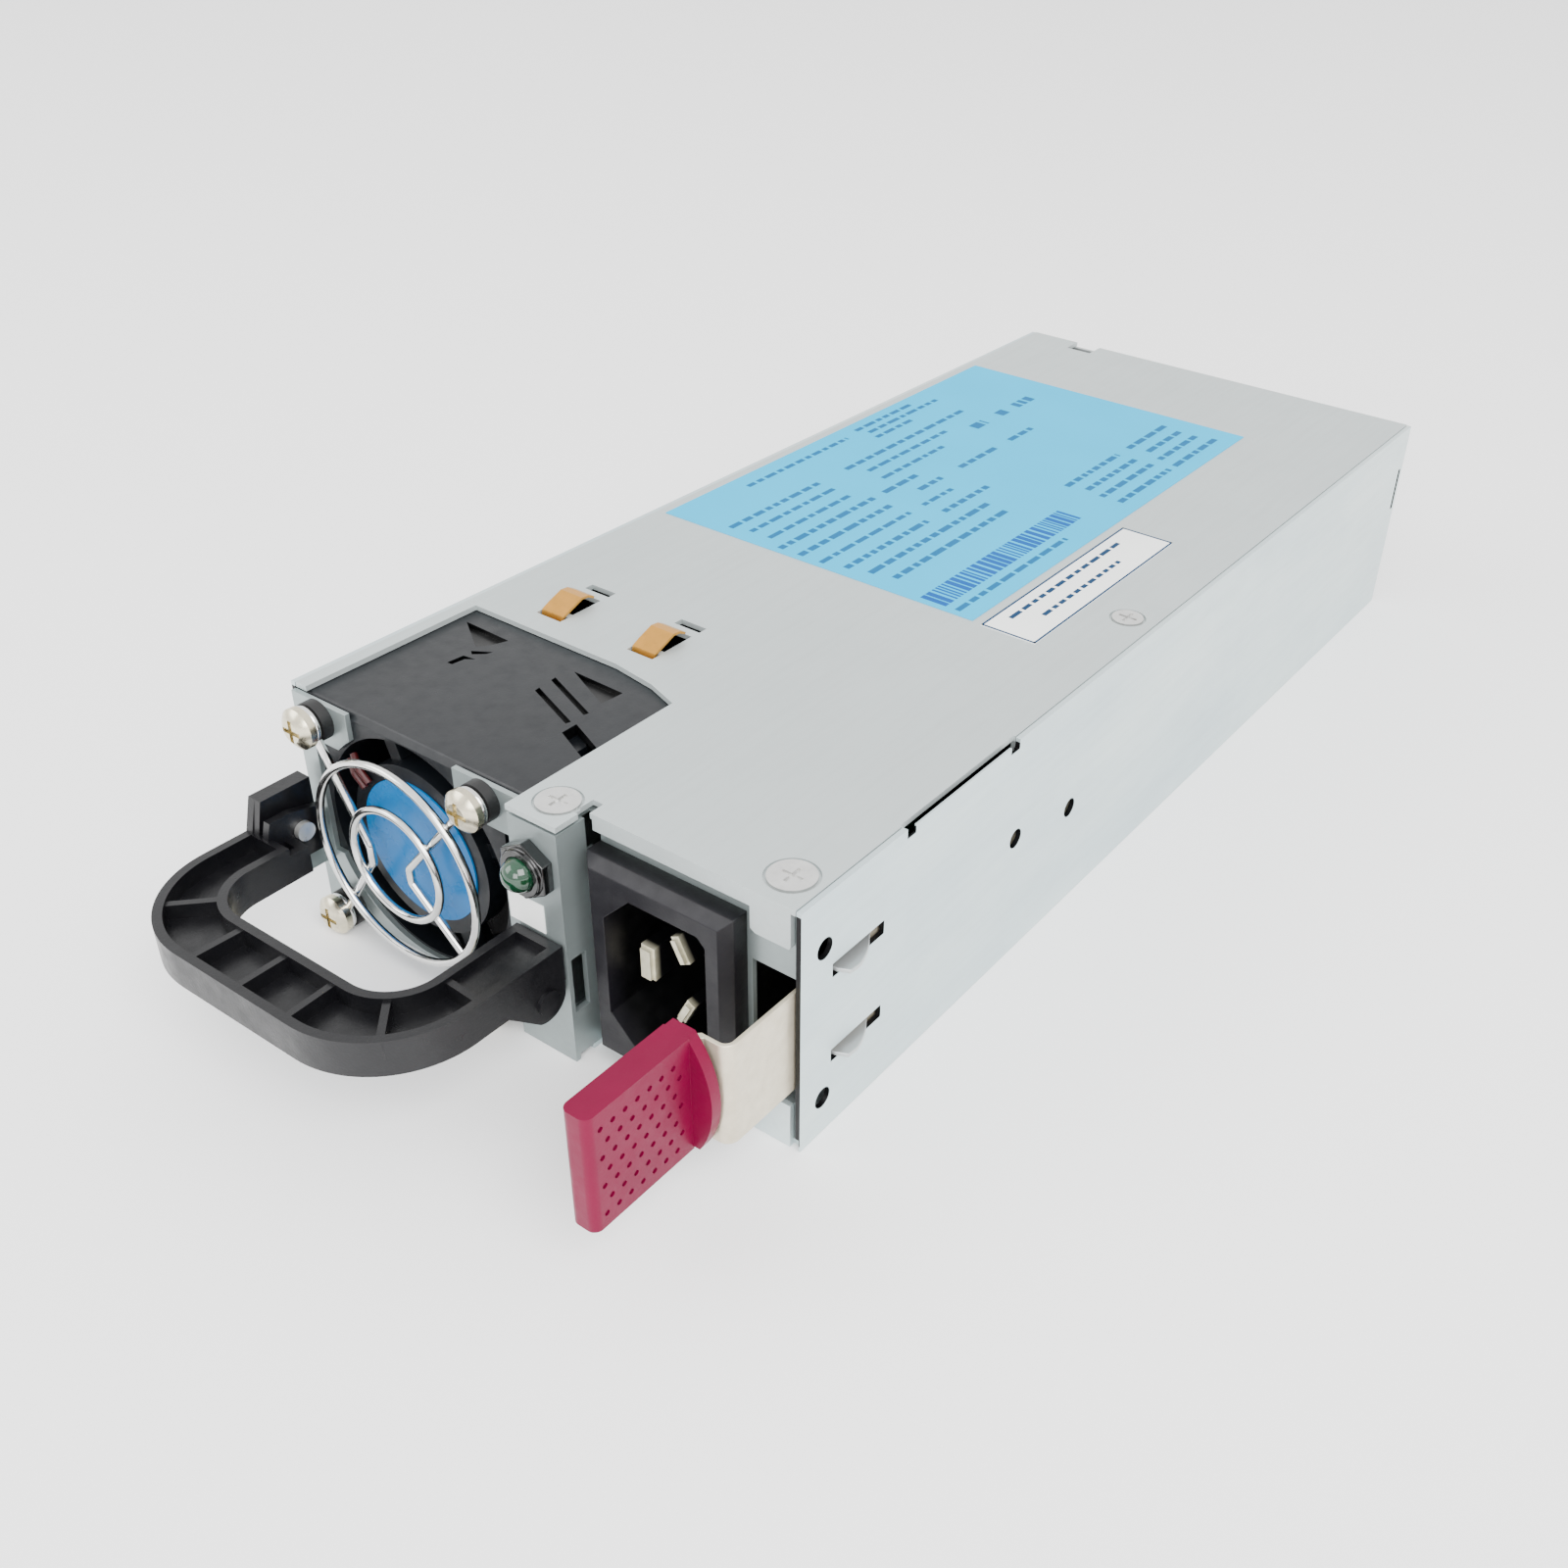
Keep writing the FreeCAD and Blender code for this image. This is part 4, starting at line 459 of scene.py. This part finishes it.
def flat_marks(name, rects, z, mat, body="chassis", lift=0.015):
    """Thin printed marks: each is (x0, x1, y0, y1) in millimetres, Y counted from the front lip."""
    bm = bmesh.new()
    for x0, x1, y0, y1 in rects:
        vs = []
        for zz in (z, z + lift):
            for x, y in ((x0, y0), (x1, y0), (x1, y1), (x0, y1)):
                vs.append(bm.verts.new((x * MM, (y + YF) * MM, zz * MM)))
        for f in ((3, 2, 1, 0), (4, 5, 6, 7), (0, 1, 5, 4), (1, 2, 6, 5), (2, 3, 7, 6), (3, 0, 4, 7)):
            bm.faces.new([vs[i] for i in f])
    me = bpy.data.meshes.new(name)
    bm.to_mesh(me)
    bm.free()
    ob = link(name, me)
    dress(ob, mat)
    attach(ob, body)
    return ob


rng = random.Random(7)
marks = []


def greek(x, y0, y1, h, word=(1.2, 3.6), gap=0.7):
    """One greeked line of words along Y, at constant X, h tall across X."""
    y = y0
    while y < y1:
        w = min(rng.uniform(*word), y1 - y)
        if w > 0.4:
            marks.append((x - h / 2, x + h / 2, y, y + w))
        y += w + gap


# columns of greeked lines across the label
for x, h, spans in ((-37.0, 1.0, ((89, 118),)), (-38.0, 1.0, ((122, 140),)), (-35.6, 1.0, ((123, 146),)), (-33.2, 1.0, ((122, 134),)),
                    (-28.5, 1.1, ((74, 98), (106, 144))), (-25.0, 1.0, ((75, 98), (108, 133))), (-21.2, 1.0, ((75, 97), (107, 127))),
                    (-17.4, 1.2, ((73, 99), (102, 112))), (-13.4, 1.2, ((73, 99), (107, 114), (120, 132), (137, 145))),
                    (-9.2, 1.0, ((73, 98), (102, 112))), (-5.0, 1.2, ((74, 97), (102, 116))), (-1.0, 1.2, ((75, 110),)),
                    (3.0, 1.2, ((76, 110),)), (16.6, 1.0, ((73, 106),)),
                    (5.8, 1.2, ((125, 144), (148, 163))), (9.4, 1.2, ((126, 144), (149, 162))), (12.8, 1.2, ((125, 144), (147, 162))),
                    (16.4, 1.2, ((125, 144), (146, 163))), (-22.0, 2.2, ((138, 142), (147, 150), (153, 159)))):
    for y0, y1 in spans:
        greek(x, y0, y1, h)
flat_marks("label_print", marks, 38.12, M["blue_ink"])
# ruled bars: a generic block of strokes
marks = []
y = 73.0
while y < 115.0:
    w = rng.choice((0.45, 0.7, 1.1))
    marks.append((9.8, 14.5, y, y + w))
    y += w + rng.choice((0.3, 0.45, 0.6))
flat_marks("label_bars", marks, 38.12, M["bar_ink"])

marks = []
greek(24.2, 76.0, 110.0, 0.8, (1.0, 3.0))
greek(27.6, 80.0, 104.0, 0.8, (1.0, 2.4))
flat_marks("serial_print", marks, 38.12, M["ink"])
edge = [(21.8, 22.15, 71.4, 116.0), (30.85, 31.2, 71.4, 116.0), (21.8, 31.2, 71.4, 71.8), (21.8, 31.2, 115.6, 116.0)]
flat_marks("serial_border", edge, 38.12, M["ink"], lift=0.01)

# ------------------------------------------------------- floor, light, camera
bpy.ops.mesh.primitive_plane_add(size=8, location=(0, 0, -0.00005))
floor = bpy.context.object
floor.name = "floor"
f = Mat("floor_paint")
f.color((0.97, 0.97, 0.97, 1))
f.rough(0.6)
f.set(Specular_IOR_Level=0.2)
dress(floor, f.m)

world = bpy.data.worlds.new("studio")
scene.world = world
world.use_nodes = True
world.node_tree.nodes["Background"].inputs["Color"].default_value = (1, 1, 1, 1)
world.node_tree.nodes["Background"].inputs["Strength"].default_value = 1.9


def area(name, loc, target, size, power, color=(1, 1, 1)):
    l = bpy.data.lights.new(name, "AREA")
    l.shape = "RECTANGLE"
    l.size, l.size_y = size
    l.energy = power
    l.color = color
    o = bpy.data.objects.new(name, l)
    scene.collection.objects.link(o)
    o.location = loc
    o.rotation_euler = (Vector(target) - Vector(loc)).to_track_quat("-Z", "Y").to_euler()
    return o


area("key", (0.9, -0.5, 1.0), (0, 0, 0.02), (0.9, 0.9), 24)
area("fill", (-0.9, -0.9, 0.8), (0, 0, 0.02), (0.8, 0.8), 9)
area("front", (0.28, -0.75, 0.34), (0.0, -0.09, 0.02), (0.35, 0.35), 3.0)

cam = bpy.data.cameras.new("view")
cam.sensor_fit = "HORIZONTAL"
cam.sensor_width = 36.0
cam.lens = 1649.27 * 36.0 / 1600.0
cam.shift_x = (800.0 - 912.67) / 1600.0
cam.shift_y = (826.30 - 800.0) / 1600.0
cam.clip_start = 0.01
cam.clip_end = 50
co = bpy.data.objects.new("view", cam)
scene.collection.objects.link(co)
R = Matrix(((0.81973655, -0.34902341, 0.45410862),
            (0.57142864, 0.44475772, -0.689681),
            (0.0387465, 0.8248474, 0.56402614)))
co.matrix_world = Matrix.Translation((0.1301757, -0.1141695 + YF * MM, 0.1506038)) @ R.to_4x4()
scene.camera = co
